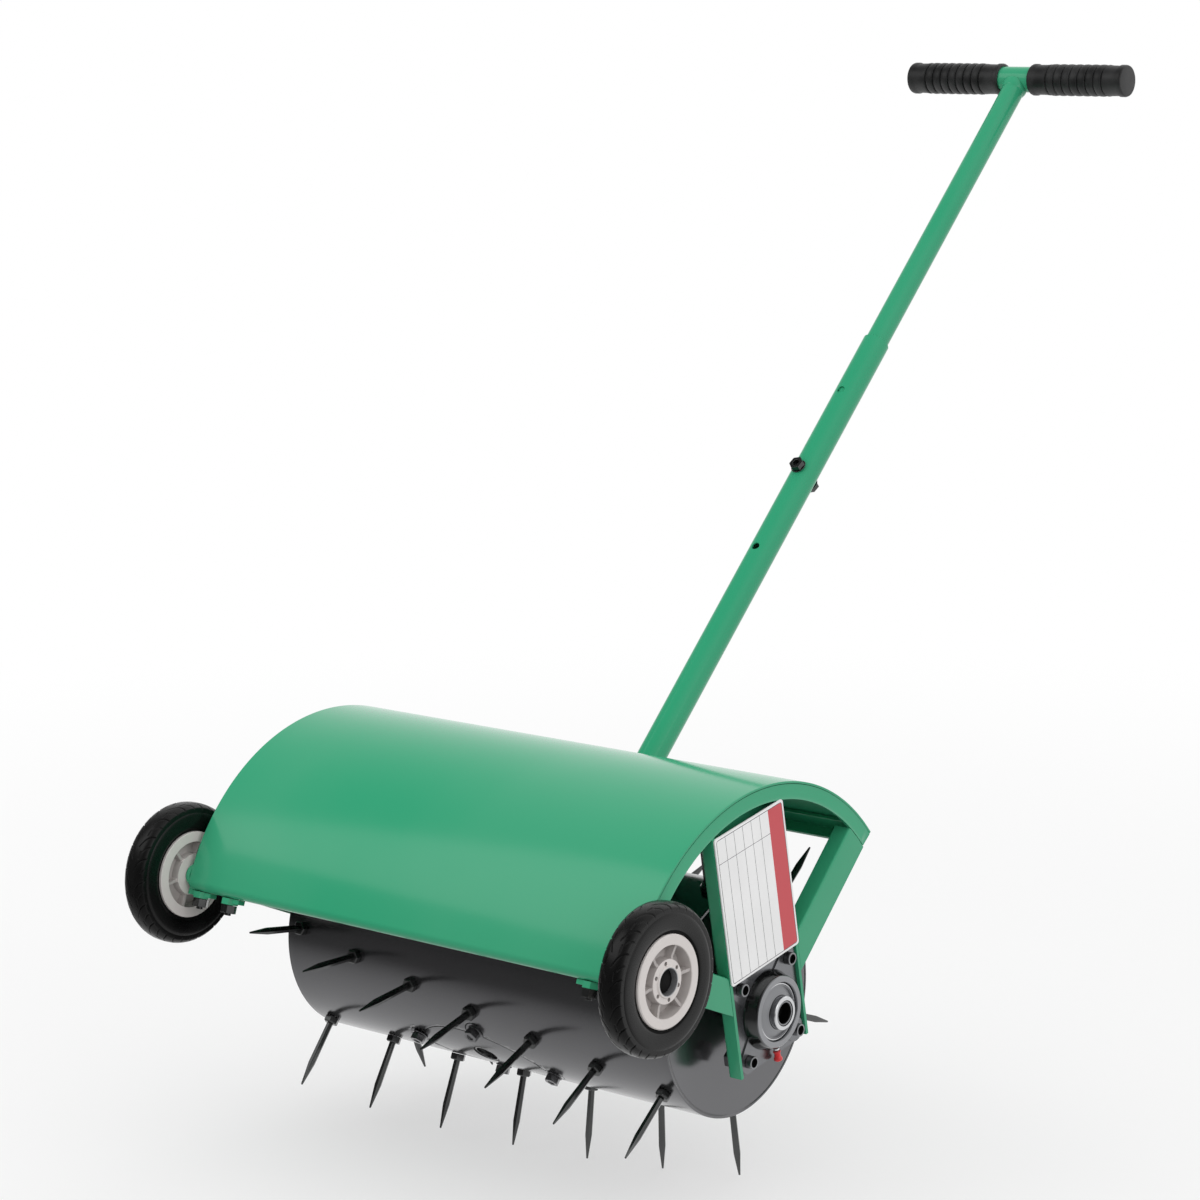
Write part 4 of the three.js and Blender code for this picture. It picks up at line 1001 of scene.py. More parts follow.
def rim_shape():
    """An angle bent round under the hood's end, thinned at the front to clear the lip."""
    leg_in = HOOD_HALF - RIM_LEG_DEPTH
    face_in = HOOD_HALF - STEEL_THICKNESS
    leg_under = RIM_OUTER - STEEL_THICKNESS
    stop = HOOD_HALF_ANGLE - hood_angle(FRONT_BEND_RADIUS)
    relief = HOOD_HALF_ANGLE - hood_angle(RIM_RELIEF)
    sections = []

    def section(point, outer, leg):
        corners = [(HOOD_HALF, outer), (leg, outer), (leg, leg_under), (face_in, leg_under)]
        corners += [(face_in, RIM_INNER), (HOOD_HALF, RIM_INNER)]
        return [(x, *point(min(out, outer))) for x, out in corners]

    angles = [-HOOD_HALF_ANGLE + (relief + HOOD_HALF_ANGLE) * i / 96 for i in range(97)]
    for angle in angles:
        sections.append(section(lambda out, a=angle: on_hood(out, a), RIM_OUTER, leg_in))
    for angle in (relief + 0.05, stop):
        sections.append(section(lambda out, a=angle: on_hood(out, a), RIM_OUTER, face_in - 0.05))
    clear = FRONT_BEND_RADIUS - SHEET_THICKNESS - GAP
    for i in range(1, 7):
        past = -FRONT_BEND_RADIUS + clear * i / 6
        rise = math.sqrt(max(clear**2 - (past + FRONT_BEND_RADIUS) ** 2, 0))
        outer = HOOD_RADIUS - FRONT_BEND_RADIUS + rise
        sections.append(section(lambda out, p=past: beside_hood(out, p), outer, face_in - 0.05))
    return Shape().loft(sections)


def strut_mesh():
    """A channel on the bearing, cut at the top to the rim's curve."""
    inner, outer, depth = STRUT_HALF - STEEL_THICKNESS, STRUT_HALF, HOOD_HALF
    back = WEB_FACE - STEEL_THICKNESS
    leg_under = RIM_OUTER - STEEL_THICKNESS
    notch_top = STRUT_FOOT + STRUT_NOTCH_DEPTH

    def bends(web, half, radius, first, steps):
        """The channel's two bends, from the leg on the first side to the other."""
        points = []
        turns = [math.tau / 4 * i / steps for i in range(steps + 1)]
        for sign in (first, -first):
            for t in turns if sign == first else turns[::-1]:
                x = web + radius - radius * math.sin(t)
                points.append((x, sign * (half - radius + radius * math.cos(t))))
        return points

    outline = [(depth, outer), *bends(back, outer, STRUT_BEND, 1, 6), (depth, -outer)]
    inner_bend = STRUT_BEND - STEEL_THICKNESS
    outline += [(depth, -inner), *bends(WEB_FACE, inner, inner_bend, -1, 4), (depth, inner)]
    channel = Shape().column(outline, STRUT_FOOT, HOOD_RADIUS)
    cuts = []
    for radius, low, high in (
        (RIM_INNER - GAP, HOOD_HALF - STEEL_THICKNESS - GAP, HOOD_HALF + 9),
        (leg_under - 2 * GAP, WEB_FACE - 9, HOOD_HALF - STEEL_THICKNESS - GAP / 2),
    ):
        beyond = arc(HOOD_RADIUS + 40, 40, -40)
        cuts.append(Shape().prism(arc(radius, -40, 40) + beyond, low, high))
    width, height = (-STRUT_NOTCH_HALF, STRUT_NOTCH_HALF), (STRUT_FOOT - 9, notch_top)
    notch = Shape().box((back - 9, HOOD_HALF + 9), width, height)
    bore = Shape().turned(rod(back - 9, HOOD_HALF, STRUT_BORE_RADIUS), 64)
    return combined("bearing_strut", channel, [*cuts, notch, bore], "DIFFERENCE")


def arm_shape(sign):
    """An angle iron from the strut's side out to the end of the rim, its leg towards the hood."""
    a = math.radians(ARM_ANGLE)
    along = Vector((-math.sin(a) * sign, math.cos(a)))
    across = Vector((math.cos(a) * sign, math.sin(a)))
    centre = Vector(HOOD_CENTRE)
    reach = RIM_INNER - GAP

    def point(offset, outer_end):
        start = across * offset
        if outer_end:
            gap = start - centre
            b = along.dot(gap)
            distance = -b + math.sqrt(b * b - gap.dot(gap) + reach * reach)
        else:
            distance = (STRUT_HALF + GAP + sign * start.x) / math.sin(a)
        return start + along * distance

    face_in, leg_in = HOOD_HALF - STEEL_THICKNESS, HOOD_HALF - ARM_LEG_DEPTH
    inside = ARM_HALF - STEEL_THICKNESS
    corners = [(HOOD_HALF, -ARM_HALF), (HOOD_HALF, 0), (HOOD_HALF, ARM_HALF - 2.2)]
    corners += [(HOOD_HALF - 0.7, ARM_HALF - 0.7), (HOOD_HALF - 2.2, ARM_HALF), (leg_in, ARM_HALF)]
    corners += [(leg_in, inside), (face_in, inside), (face_in, 0), (face_in, -ARM_HALF)]
    ends = [
        [(x, *point(offset, outer_end)) for x, offset in corners] for outer_end in (False, True)
    ]
    return Shape().loft(ends)


def rear_bar_shape():
    """An angle between the rims at the hood's rear edge, with a tab at each end."""
    leg_end = HOOD_HALF - RIM_LEG_DEPTH - GAP
    tab_end = HOOD_HALF - STEEL_THICKNESS - GAP
    under = RIM_OUTER - STEEL_THICKNESS
    rear = -HOOD_HALF_ANGLE
    leg = hood_angle(REAR_BAR_LEG)
    angle_iron = [beside_hood(RIM_INNER, 0, rear), beside_hood(RIM_OUTER, 0, rear)]
    angle_iron += arc(RIM_OUTER, rear + 0.3, rear + leg, 12)
    angle_iron += arc(under, rear + leg, rear + 1, 12)
    angle_iron.append(beside_hood(RIM_INNER, STEEL_THICKNESS, rear))
    bar = Shape().prism(angle_iron, -leg_end, leg_end)
    low = under - GAP
    corners = [(RIM_INNER, 0), (low, 0), (low, STEEL_THICKNESS), (RIM_INNER, STEEL_THICKNESS)]
    tab = [beside_hood(out, past, rear) for out, past in corners]
    for side in SIDES.values():
        bar.prism(tab, *sorted((side * (leg_end + 0.02), side * tab_end)))
    return bar


class AERATOR_OT_side_frames(bpy.types.Operator):
    """Sets the rims, the bearing struts, the angle irons and the rear bar under the hood"""

    bl_idname = "aerator.side_frames"
    bl_label = "Side Frames"

    def execute(self, context):
        look = ("green_paint", ["hood_green"], "frame")
        for name, side in SIDES.items():
            for word, node, shape in (
                ("side_rim", "rim", rim_shape()), ("strut", "bearing_strut", strut_mesh()),
                ("front_angle_iron", "front_arm", arm_shape(1)),
                ("rear_angle_iron", "rear_arm", arm_shape(-1)),
            ):
                finish_piece(f"{word}_{name}", shape, *look, [f"{node}_{name}"], at_end(side))
        finish_piece("rear_angle_bar", rear_bar_shape(), *look, ["rear_bar"])
        return {"FINISHED"}


class AERATOR_OT_labels(bpy.types.Operator):
    """Lays a blank printed plate across each strut"""

    bl_idname = "aerator.labels"
    bl_label = "Label Plates"

    def execute(self, context):
        middle = LABEL_LOW + LABEL_HEIGHT / 2
        for name, side in SIDES.items():
            outline = rounded_box(LABEL_HALF_WIDTH, LABEL_HEIGHT / 2, LABEL_CORNER, (0, middle))
            low = HOOD_HALF + GAP
            shape = Shape().prism(outline, low, low + LABEL_THICKNESS)
            finish_piece(
                f"label_{name}", shape, "label_white", ["label_print"], "frame",
                [f"label_plate_{name}"], at_end(side), bevel=0.2,
                chart=lambda co: (co.y, co.z - middle),
            )
        return {"FINISHED"}


# Bearings


def housing_mesh():
    """A cast four-bolt flange with ears at its bolts and a round boss with a machined lip."""
    seat = WEB_FACE + GAP
    top = WEB_FACE + HOUSING_HEIGHT
    face = seat + FLANGE_THICKNESS
    plate = Shape().prism(rounded_box(FLANGE_HALF, FLANGE_HALF, FLANGE_CORNER), seat, face - 1.2)
    additions = []
    half = BOLT_SPACING / 2
    for sy, sz in ((1, 1), (-1, 1), (-1, -1), (1, -1)):
        base = math.atan2(sz, sy)
        outline = []
        for i in range(13):
            t = base - math.pi / 2 + math.pi * i / 12
            y = sy * half + FLANGE_EAR_RADIUS * math.cos(t)
            outline.append((y, sz * half + FLANGE_EAR_RADIUS * math.sin(t)))
        for sign in (1, -1):
            t = base + sign * math.pi / 2
            outline.append((FLANGE_EAR_ROOT * math.cos(t), FLANGE_EAR_ROOT * math.sin(t)))
        additions.append(Shape().prism(outline, seat + 0.5, face))
    boss = Shape().turned(
        [
            (seat + 0.8, 0), (seat + 0.8, HOUSING_RADIUS), (face - 0.5, HOUSING_RADIUS),
            (face + 1, HOUSING_RADIUS - 0.2), (face + 2.5, HOUSING_RADIUS - 1.2),
            (top - 2.2, HOUSING_LIP_RADIUS + 0.6), (top - 0.6, HOUSING_LIP_RADIUS),
            (top, HOUSING_LIP_RADIUS - 0.6), (top, HOUSING_LIP_RADIUS - 4.8),
            (top - 0.5, HOUSING_LIP_RADIUS - 5.3), (top - 3.4, HOUSING_LIP_RADIUS - 5.5),
            (top - 3.4, 0),
        ],
        96,
    )
    additions.append(boss)
    whole = shape_of(combined("bearing_housing", plate, additions, "UNION"))
    cuts = [Shape().turned(rod(seat - 5, top + 5, INNER_RACE_RADIUS + GAP), 96)]
    for y in (-half, half):
        for z in (-half, half):
            hole = rod(seat - 5, face + 5, FLANGE_HOLE_RADIUS)
            cuts.append(Shape(shift(0, y, z)).turned(hole, 32))
    mesh = combined("bearing_housing", whole, cuts, "DIFFERENCE")
    # painted shade: the boss's side takes the darker blackened steel, unlike the rest of the same
    # casting
    mesh = refinished(
        mesh, 2, lambda x, radius: x > face + 0.2 and radius > HOUSING_LIP_RADIUS - 0.2
    )
    return refinished(mesh, 1, lambda x, radius: x > top - 0.1)


def inner_race_mesh():
    """The bearing's turning ring: a bright face, a grey ring, and a groove and a mouth in painted
    shade.
    """
    low, high = WEB_FACE + SHEET_THICKNESS, WEB_FACE + INNER_RACE_HEIGHT
    bore = SHAFT_RADIUS + GAP
    race = Shape().turned(
        [
            (low, bore), (low, INNER_RACE_RADIUS), (high - 0.7, INNER_RACE_RADIUS),
            (high, INNER_RACE_RADIUS - 0.7), (high, bore + 0.3), (high - 1, bore + 0.2),
            (high - 1, bore - 0.2), (high - 0.4, bore - 0.3), (high - 0.4, bore - 1.4),
            (high - 1, bore - 1.7), (high - 3, bore - 1.7), (high - 3, bore),
        ],
        96,
    )
    # painted shade: the groove and the mouth take the near-black hollow finish
    mesh = refinished(mesh_of(race, "race"), 2, lambda x, radius: radius < bore + 0.28)
    return refinished(mesh, 1, lambda x, radius: x > high - 0.9 and -1.6 < radius - bore < -0.31)


def outer_race_mesh():
    """The bearing's fixed ring in the boss, with a bright edge and a dished shield inside it."""
    top = WEB_FACE + HOUSING_HEIGHT
    floor = top - 3.2
    bore = INNER_RACE_RADIUS + 0.35
    ring = Shape().turned(
        [
            (floor, bore), (floor, HOUSING_LIP_RADIUS - 5.6),
            (floor + 1, HOUSING_LIP_RADIUS - 5.9), (floor + 1.2, OUTER_RACE_RADIUS + 0.9),
            (floor + 1.2, OUTER_RACE_RADIUS + 0.1), (floor + 0.4, OUTER_RACE_RADIUS - 0.3),
            (floor + 0.4, OUTER_RACE_RADIUS - 1.3), (top + 0.1, bore + 0.9), (top + 0.2, bore),
        ],
        96,
    )
    edge = OUTER_RACE_RADIUS + 0.5
    mesh = mesh_of(ring, "outer_race")
    return refinished(mesh, 1, lambda x, radius: abs(radius - edge) < 0.2)


def socket_bolts_mesh(corners):
    """Hollow-headed bolts at the flange's corners, each with its nut behind the strut's web."""
    seat = FLANGE_THICKNESS + 2 * GAP
    shape = Shape().turned(
        [
            (-10.9, 0), (-10.9, 3.4), (-9.7, 4.2), (seat, 4.2), (seat, 5.3),
            (seat + 5, 5.3), (seat + 5.3, 5), (seat + 5.3, 3.9), (seat + 1.4, 3.7),
            (seat + 1.2, 0),
        ],
        36,
    )
    shape.turned(pipe(-10.3, -STEEL_THICKNESS - GAP, 4.3, hex_radius(FLANGE_NUT_FLATS)), 6)
    spacing = {"Width": float(BOLT_SPACING), "Height": float(BOLT_SPACING)}
    mesh = repeated("bolts", corners, shape, "blackened_steel", spacing)
    # painted highlight: the head's end face takes the paler shield steel, for the bright ring of
    # light on it
    mesh = refinished(mesh, 1, lambda x, radius: x > seat + 5.1)
    # painted shade: the socket's walls and floor take the near-black hollow finish
    return refinished(mesh, 2, lambda x, radius: 0.9 < x - seat < 2 or 2.9 < x - seat < 4.6)


def grease_cap_shape():
    """A nipple that points past the strut's free end, under a soft cap."""
    base = shift(WEB_FACE + NIPPLE_INSET, 0, -HOUSING_RADIUS - 2 * GAP)
    shape = Shape(base @ turn(180 - NIPPLE_TILT, "Y"))
    shape.finish = 1
    shape.turned_up([(0, 0), (0, 2.4), (1.6, 2.4), (2.2, 1.9), (3, 1.9), (3, 0)], 24)
    shape.finish = 0
    cap = [(2.5, 0), (2.5, 3.2), (3.7, 3.2), (4.1, 2.5), (6.6, 2.6)]
    cap += [(8.4, 3.1), (8.7, 3.6), (10.4, 3.6), (11.1, 2.9), (11.1, 0)]
    return shape.turned_up(cap, 28)


class AERATOR_OT_bearings(bpy.types.Operator):
    """Casts the flanged bearings and bolts them to the struts"""

    bl_idname = "aerator.bearings"
    bl_label = "Bearings"

    def execute(self, context):
        corners = corner_tree()
        for name, side in SIDES.items():
            placed = at_end(side)
            finish_piece(
                f"housing_{name}", housing_mesh(), "cast_iron",
                ["cast_paint", "machined_iron", "blackened_steel"], "frame",
                [f"bearing_housing_{name}"], placed, bevel=0.5,
            )
            finish_piece(
                f"outer_race_{name}", outer_race_mesh(), "bright_steel",
                ["shield_steel", "polished_steel"], "frame", [f"bearing_housing_{name}"], placed,
                bevel=0.1,
            )
            nodes = [f"flange_bolt_{name}_{i}" for i in range(1, 5)]
            finish_piece(
                f"socket_bolts_{name}", socket_bolts_mesh(corners), "black_steel",
                ["blackened_steel", "shield_steel", "dark_hollow"], "frame", nodes,
                placed @ shift(WEB_FACE), bevel=0,
            )
            finish_piece(
                f"grease_nipple_{name}", grease_cap_shape(), "red_plastic",
                ["cap_red", "polished_steel"], "frame", [f"grease_cap_{name}"], placed, bevel=0.25,
            )
            finish_piece(
                f"race_{name}", inner_race_mesh(), "bright_steel",
                ["polished_steel", "shield_steel", "dark_hollow"], "drum", [f"inner_race_{name}"],
                placed, bevel=0.1,
            )
        return {"FINISHED"}


# Wheels


def tyre_mesh(settings):
    """A solid tyre with hooked grooves cut across its crown, in painted shade, a duller black,
    where it meets the rim.
    """
    half = TYRE_WIDTH / 2
    bead = RIM_RADIUS + GAP
    outline = [(-10, bead), (-10.2, bead + 0.3), (-10.2, bead + 2), (-11.2, bead + 2.6)]
    outline += [(-11.5, bead + 5), (-12, bead + 9), (-11.95, bead + 13), (-11.6, bead + 15.2)]
    outline += [(-11.1, bead + 15.4), (-11.1, bead + 16)]
    crown = []
    for i in range(57):
        t = -1 + 2 * i / 56
        lift = math.sqrt(max(1 - (abs(t) * 0.93) ** 2.6, 0))
        crown.append((t * 11.2, bead + 16.4 + (TYRE_RADIUS - 0.3 - bead - 16.4) * lift))
    rest = [(-x, r) for x, r in reversed(outline)]
    profile = outline + crown + rest
    facets = 50 * settings.tread_pitches
    count = len(profile)
    corners, faces = [], []
    low, high = len(outline), len(outline) + len(crown)
    for i in range(facets):
        turned_by = i / facets
        phase = (turned_by * settings.tread_pitches) % 1.0
        angle = math.tau * turned_by
        for j, (x, radius) in enumerate(profile):
            if low <= j < high:
                radius -= settings.tread_depth * groove(phase, x / half, settings)
            corners.append((x, -radius * math.sin(angle), radius * math.cos(angle)))
        following = (i + 1) % facets
        for j in range(count):
            k = (j + 1) % count
            first, second = i * count, following * count
            faces.append((first + j, first + k, second + k, second + j))
    mesh = bpy.data.meshes.new("tyre")
    mesh.from_pydata(corners, [], faces)
    surface = bmesh.new()
    surface.from_mesh(mesh)
    bmesh.ops.recalc_face_normals(surface, faces=surface.faces)
    surface.to_mesh(mesh)
    surface.free()
    # painted shade: the ring beside the rim takes the matte near-black hollow finish
    return refinished(mesh, 1, lambda x, radius: radius < bead + 2.5)


def groove(phase, across, settings):
    """How deep the tread is cut, from 0 to 1, at a share of a pitch and of the half width."""
    pitch = math.tau * TYRE_RADIUS / settings.tread_pitches
    outwards = abs(across)
    shifted = (phase + (0 if across > 0 else 0.5)) % 1.0
    deepest = 0.0
    for start, end, place, slant, width in TREAD_HOOKS:
        if start <= outwards <= end:
            run = (outwards - start) / (end - start)
            line = place + slant * (1 - run) ** 2
            gap = abs((shifted - line + 0.5) % 1.0 - 0.5) * pitch
            fade = min(1, (outwards - start) / 0.06)
            deepest = max(deepest, fade * max(0, 1 - (gap / width) ** 2))
    seam = max(0, 1 - (abs(outwards - TREAD_SEAM) * TYRE_WIDTH / 2 / 0.5) ** 2)
    if shifted < 0.3:
        deepest = max(deepest, 0.7 * seam)
    return deepest


def wheel_rim_mesh(settings):
    """A moulded wheel: a flat outer ring, a dished recess with ribs, and a hub with six eyes."""
    low, high = 0.0, WHEEL_WIDTH
    bore = AXLE_RADIUS + 0.6
    body = Shape().turned(
        [
            (low, bore), (low, HUB_RADIUS), (low + 7, HUB_RADIUS + 0.6),
            (low + 9.5, RIM_RECESS_RADIUS - 1), (low, RIM_RECESS_RADIUS), (low, RIM_RADIUS - 0.4),
            (low + 0.4, RIM_RADIUS), (high - 0.9, RIM_RADIUS), (high, RIM_RADIUS - 0.9),
            (high, RIM_RECESS_RADIUS + 0.5), (high - 0.7, RIM_RECESS_RADIUS),
            (high - 11.5, RIM_RECESS_RADIUS - 1), (high - 9.5, HUB_RADIUS + 0.6),
            (high - 1.9, HUB_RADIUS), (high - 1.5, HUB_RADIUS - 0.4),
            (high - 1.5, HUB_BORE_RADIUS + 2.3), (high - 0.3, HUB_BORE_RADIUS + 1.7),
            (high - 0.15, HUB_BORE_RADIUS + 0.9), (high - 0.3, HUB_BORE_RADIUS + 0.2),
            (AXLE_LENGTH - GAP, HUB_BORE_RADIUS), (AXLE_LENGTH - GAP, bore),
        ],
        96,
    )
    outline = [(HUB_RADIUS - 1, high - 2.3), (HUB_RADIUS - 1, 2), (RIM_RECESS_RADIUS + 1, 1.2)]
    outline += [(RIM_RECESS_RADIUS + 1, high - 1.6), (HUB_RADIUS + 2.5, high - 3.2)]
    rib = Shape().loft([[(x, y, z) for z, x in outline] for y in (-RIB_HALF, RIB_HALF)])
    sizes = {"Count": settings.wheel_ribs, "First Angle": math.radians(RIB_ANGLE - LEAN)}
    ring = ring_tree()
    ribs = shape_of(repeated("ribs", ring, rib, "moulded_plastic", sizes, bevel=0))
    eye = Shape(shift(0, 0, EYE_DISTANCE)).turned(rod(high - 5, high + 3, EYE_RADIUS), 16)
    sizes["First Angle"] = math.radians(EYE_ANGLE - LEAN)
    eyes = shape_of(repeated("eyes", ring, eye, "moulded_plastic", sizes, bevel=0))
    joined = shape_of(combined("wheel_rim", body, [ribs], "UNION"))
    joined = combined("wheel_rim", joined, [eyes], "DIFFERENCE")
    recess = (HUB_RADIUS + 0.2, RIM_RECESS_RADIUS - 0.2)
    # painted shade: the recess's faces take the darker plastic
    joined = refinished(
        joined, 1, lambda x, radius: 3 < x < high - 3 and recess[0] < radius < recess[1]
    )
    # painted shade: the hub's bore takes the darker grey
    return refinished(joined, 2, lambda x, radius: radius < HUB_BORE_RADIUS + 0.8)


def hub_cap_shape():
    """The push-on cap at the end of the axle, with a domed face."""
    start, radius, steps = AXLE_LENGTH + GAP, HUB_BORE_RADIUS - 2 * GAP, 16
    profile = [(start, 0), (start, radius), (start + CAP_EDGE, radius)]
    for i in range(1, steps + 1):
        t = math.tau / 4 * i / steps
        out = radius * math.cos(t) if i < steps else 0
        profile.append((start + CAP_EDGE + CAP_DOME * math.sin(t), out))
    return Shape().turned(profile, 48)


class AERATOR_OT_wheels(bpy.types.Operator):
    """Moulds the two transport wheels and their tyres"""

    bl_idname = "aerator.wheels"
    bl_label = "Wheels"

    def execute(self, context):
        settings = context.scene.aerator_sizes
        for name, side in SIDES.items():
            placed = at_end(side) @ shift(WHEEL_FACE, *AXLE)
            finish_piece(
                f"moulded_wheel_{name}", wheel_rim_mesh(settings), "wheel_plastic",
                ["moulded_plastic", "dusty_plastic", "bush_steel"], f"wheel_{name}",
                [f"wheel_rim_{name}"], placed, bevel=0.3,
            )
            finish_piece(
                f"treaded_tyre_{name}", tyre_mesh(settings), "tyre_rubber",
                ["tyre_black", "dark_hollow"], f"wheel_{name}", [f"tyre_{name}"],
                placed @ shift(WHEEL_WIDTH / 2), bevel=0,
            )
            # painted shade: the black cap takes the near-black matte hollow finish, as the shade of
            # a deep hole
            finish_piece(
                f"hub_cap_{name}", hub_cap_shape(), "black_steel", ["dark_hollow"], "frame",
                [f"axle_cap_{name}"], placed, bevel=0,
            )
        return {"FINISHED"}


def lip_placing(x):
    """At a bracket bolt, with z pointing down through the hood's front lip."""
    y, z = beside_hood(HOOD_RADIUS - BRACKET_BOLT_DEPTH, 0)
    return shift(x, y, z) @ turn(HOOD_HALF_ANGLE + 90)


def lip_plate(low, high):
    """A plate under the hood's front lip, from one x to another."""
    near, far = HOOD_RADIUS - BRACKET_WIDTH, HOOD_RADIUS - BRACKET_SETBACK
    foot = GAP + BRACKET_THICKNESS
    outline = [beside_hood(near, GAP), beside_hood(far, GAP)]
    outline += [beside_hood(far, foot), beside_hood(near, foot)]
    return Shape().prism(outline, low, high)


def plate_boss(shape, x):
    """Adds the hexagon on the plate at a bolt."""
    shape.placed = lip_placing(x)
    shape.turned_up(rod(GAP, GAP + BRACKET_BOSS_HEIGHT, hex_radius(BRACKET_BOSS_FLATS)), 6)


def bracket_mesh():
    """A plate under the lip, an upright over the rim's end and the wheel's stub axle."""
    near, far = HOOD_RADIUS - BRACKET_WIDTH, HOOD_RADIUS - BRACKET_SETBACK
    foot = GAP + BRACKET_THICKNESS
    face = HOOD_HALF + GAP
    out = face + BRACKET_THICKNESS
    outline = [beside_hood(near, foot - 0.5), beside_hood(near, -BRACKET_EYE_RADIUS)]
    outline += [beside_hood(far, -BRACKET_EYE_RADIUS), beside_hood(far, foot - 0.5)]
    upright = Shape().prism(outline, face, out)
    eye = Shape().prism(circle(BRACKET_EYE_RADIUS, 64, AXLE), face, out)
    stub = Shape(shift(0, *AXLE)).turned(rod(face + 1, WHEEL_FACE + AXLE_LENGTH, AXLE_RADIUS), 64)
    boss = Shape()
    plate_boss(boss, BRACKET_BOLTS[1])
    plate = lip_plate(BRACKET_BOLTS[1] - BRACKET_TAB, out)
    return combined("wheel_bracket", plate, [upright, eye, stub, boss], "UNION")


class AERATOR_OT_brackets(bpy.types.Operator):
    """Bolts the wheels' brackets and stub axles under the hood's front lip"""

    bl_idname = "aerator.brackets"
    bl_label = "Wheel Brackets"

    def execute(self, context):
        seat = BRACKET_BOSS_HEIGHT + 2 * GAP
        top = seat + BRACKET_NUT_HEIGHT
        for name, side in SIDES.items():
            placed = at_end(side)
            finish_piece(
                f"bracket_{name}", bracket_mesh(), "green_paint", ["hood_green"], "frame",
                [f"wheel_bracket_{name}"], placed, bevel=0.4,
            )
            bolts = lip_plate(BRACKET_BOLTS[0] - BRACKET_TAB, BRACKET_BOLTS[0])
            plate_boss(bolts, BRACKET_BOLTS[0])
            bolts.finish = 1
            for x in BRACKET_BOLTS:
                bolts.placed = lip_placing(x)
                bolts.turned_up(rod(-5, top + BRACKET_NUT_HEIGHT * 0.3, BRACKET_BOLT_RADIUS), 24)
                nut = pipe(seat, top, BRACKET_BOLT_RADIUS + 0.1, hex_radius(BRACKET_BOLT_FLATS))
                bolts.turned_up(nut, 6)
                washer = pipe(-5, -SHEET_THICKNESS - GAP, BRACKET_BOLT_RADIUS + 0.1, 3.9)
                bolts.turned_up(washer, 24)
            finish_piece(
                f"bracket_bolts_{name}", bolts, "black_steel", ["hood_green", "blackened_steel"],
                "frame", [f"bracket_bolt_{name}_{i}" for i in (1, 2)], placed, bevel=0.35,
            )
        return {"FINISHED"}


# Drum


def hatch_placing():
    return turn(HATCH_ANGLE) @ shift(HATCH_OFFSET) @ turn(-HATCH_SKEW, "Z")


def hatch_columns(extra):
    """The hatch's oval and the ears round its bolts, as one column through the drum's skin."""
    long, wide = HATCH_HALF_LENGTH + extra, HATCH_HALF_WIDTH + extra
    turns = [math.tau * i / 96 for i in range(96)]
    oval = [(long * math.cos(t), wide * math.sin(t)) for t in turns]
    outlines = [oval] + [circle(HATCH_EAR_RADIUS + extra, 40, bolt) for bolt in HATCH_BOLTS]
    low, high = DRUM_RADIUS * 0.6, DRUM_RADIUS * 1.2
    shapes = [Shape(hatch_placing()).column(outline, low, high) for outline in outlines]
    return shape_of(combined("hatch_column", shapes[0], shapes[1:], "UNION"))


def shell_shape():
    """The drum's skin, in short strips so that a cut across it stays smooth."""
    inner = DRUM_RADIUS - SHELL_THICKNESS
    strips = 64
    low, high = -DRUM_HALF, DRUM_HALF
    profile = [(low, inner), (low, DRUM_RADIUS - 0.4), (low + 0.4, DRUM_RADIUS)]
    span = high - low - 0.8
    profile += [(low + 0.4 + span * i / strips, DRUM_RADIUS) for i in range(1, strips + 1)]
    profile += [(high, DRUM_RADIUS - 0.4), (high, inner)]
    return Shape().turned(profile, 192)


def hatch_post(shape, profile, place, facets, first=0.0):
    """Stands a turned profile on the drum's skin, along the radius at a place on the hatch."""
    x, y = place
    tilt = -math.degrees(math.asin(y / DRUM_RADIUS))
    shape.placed = hatch_placing() @ shift(x) @ turn(tilt)
    shape.turned_up(profile, facets, first)


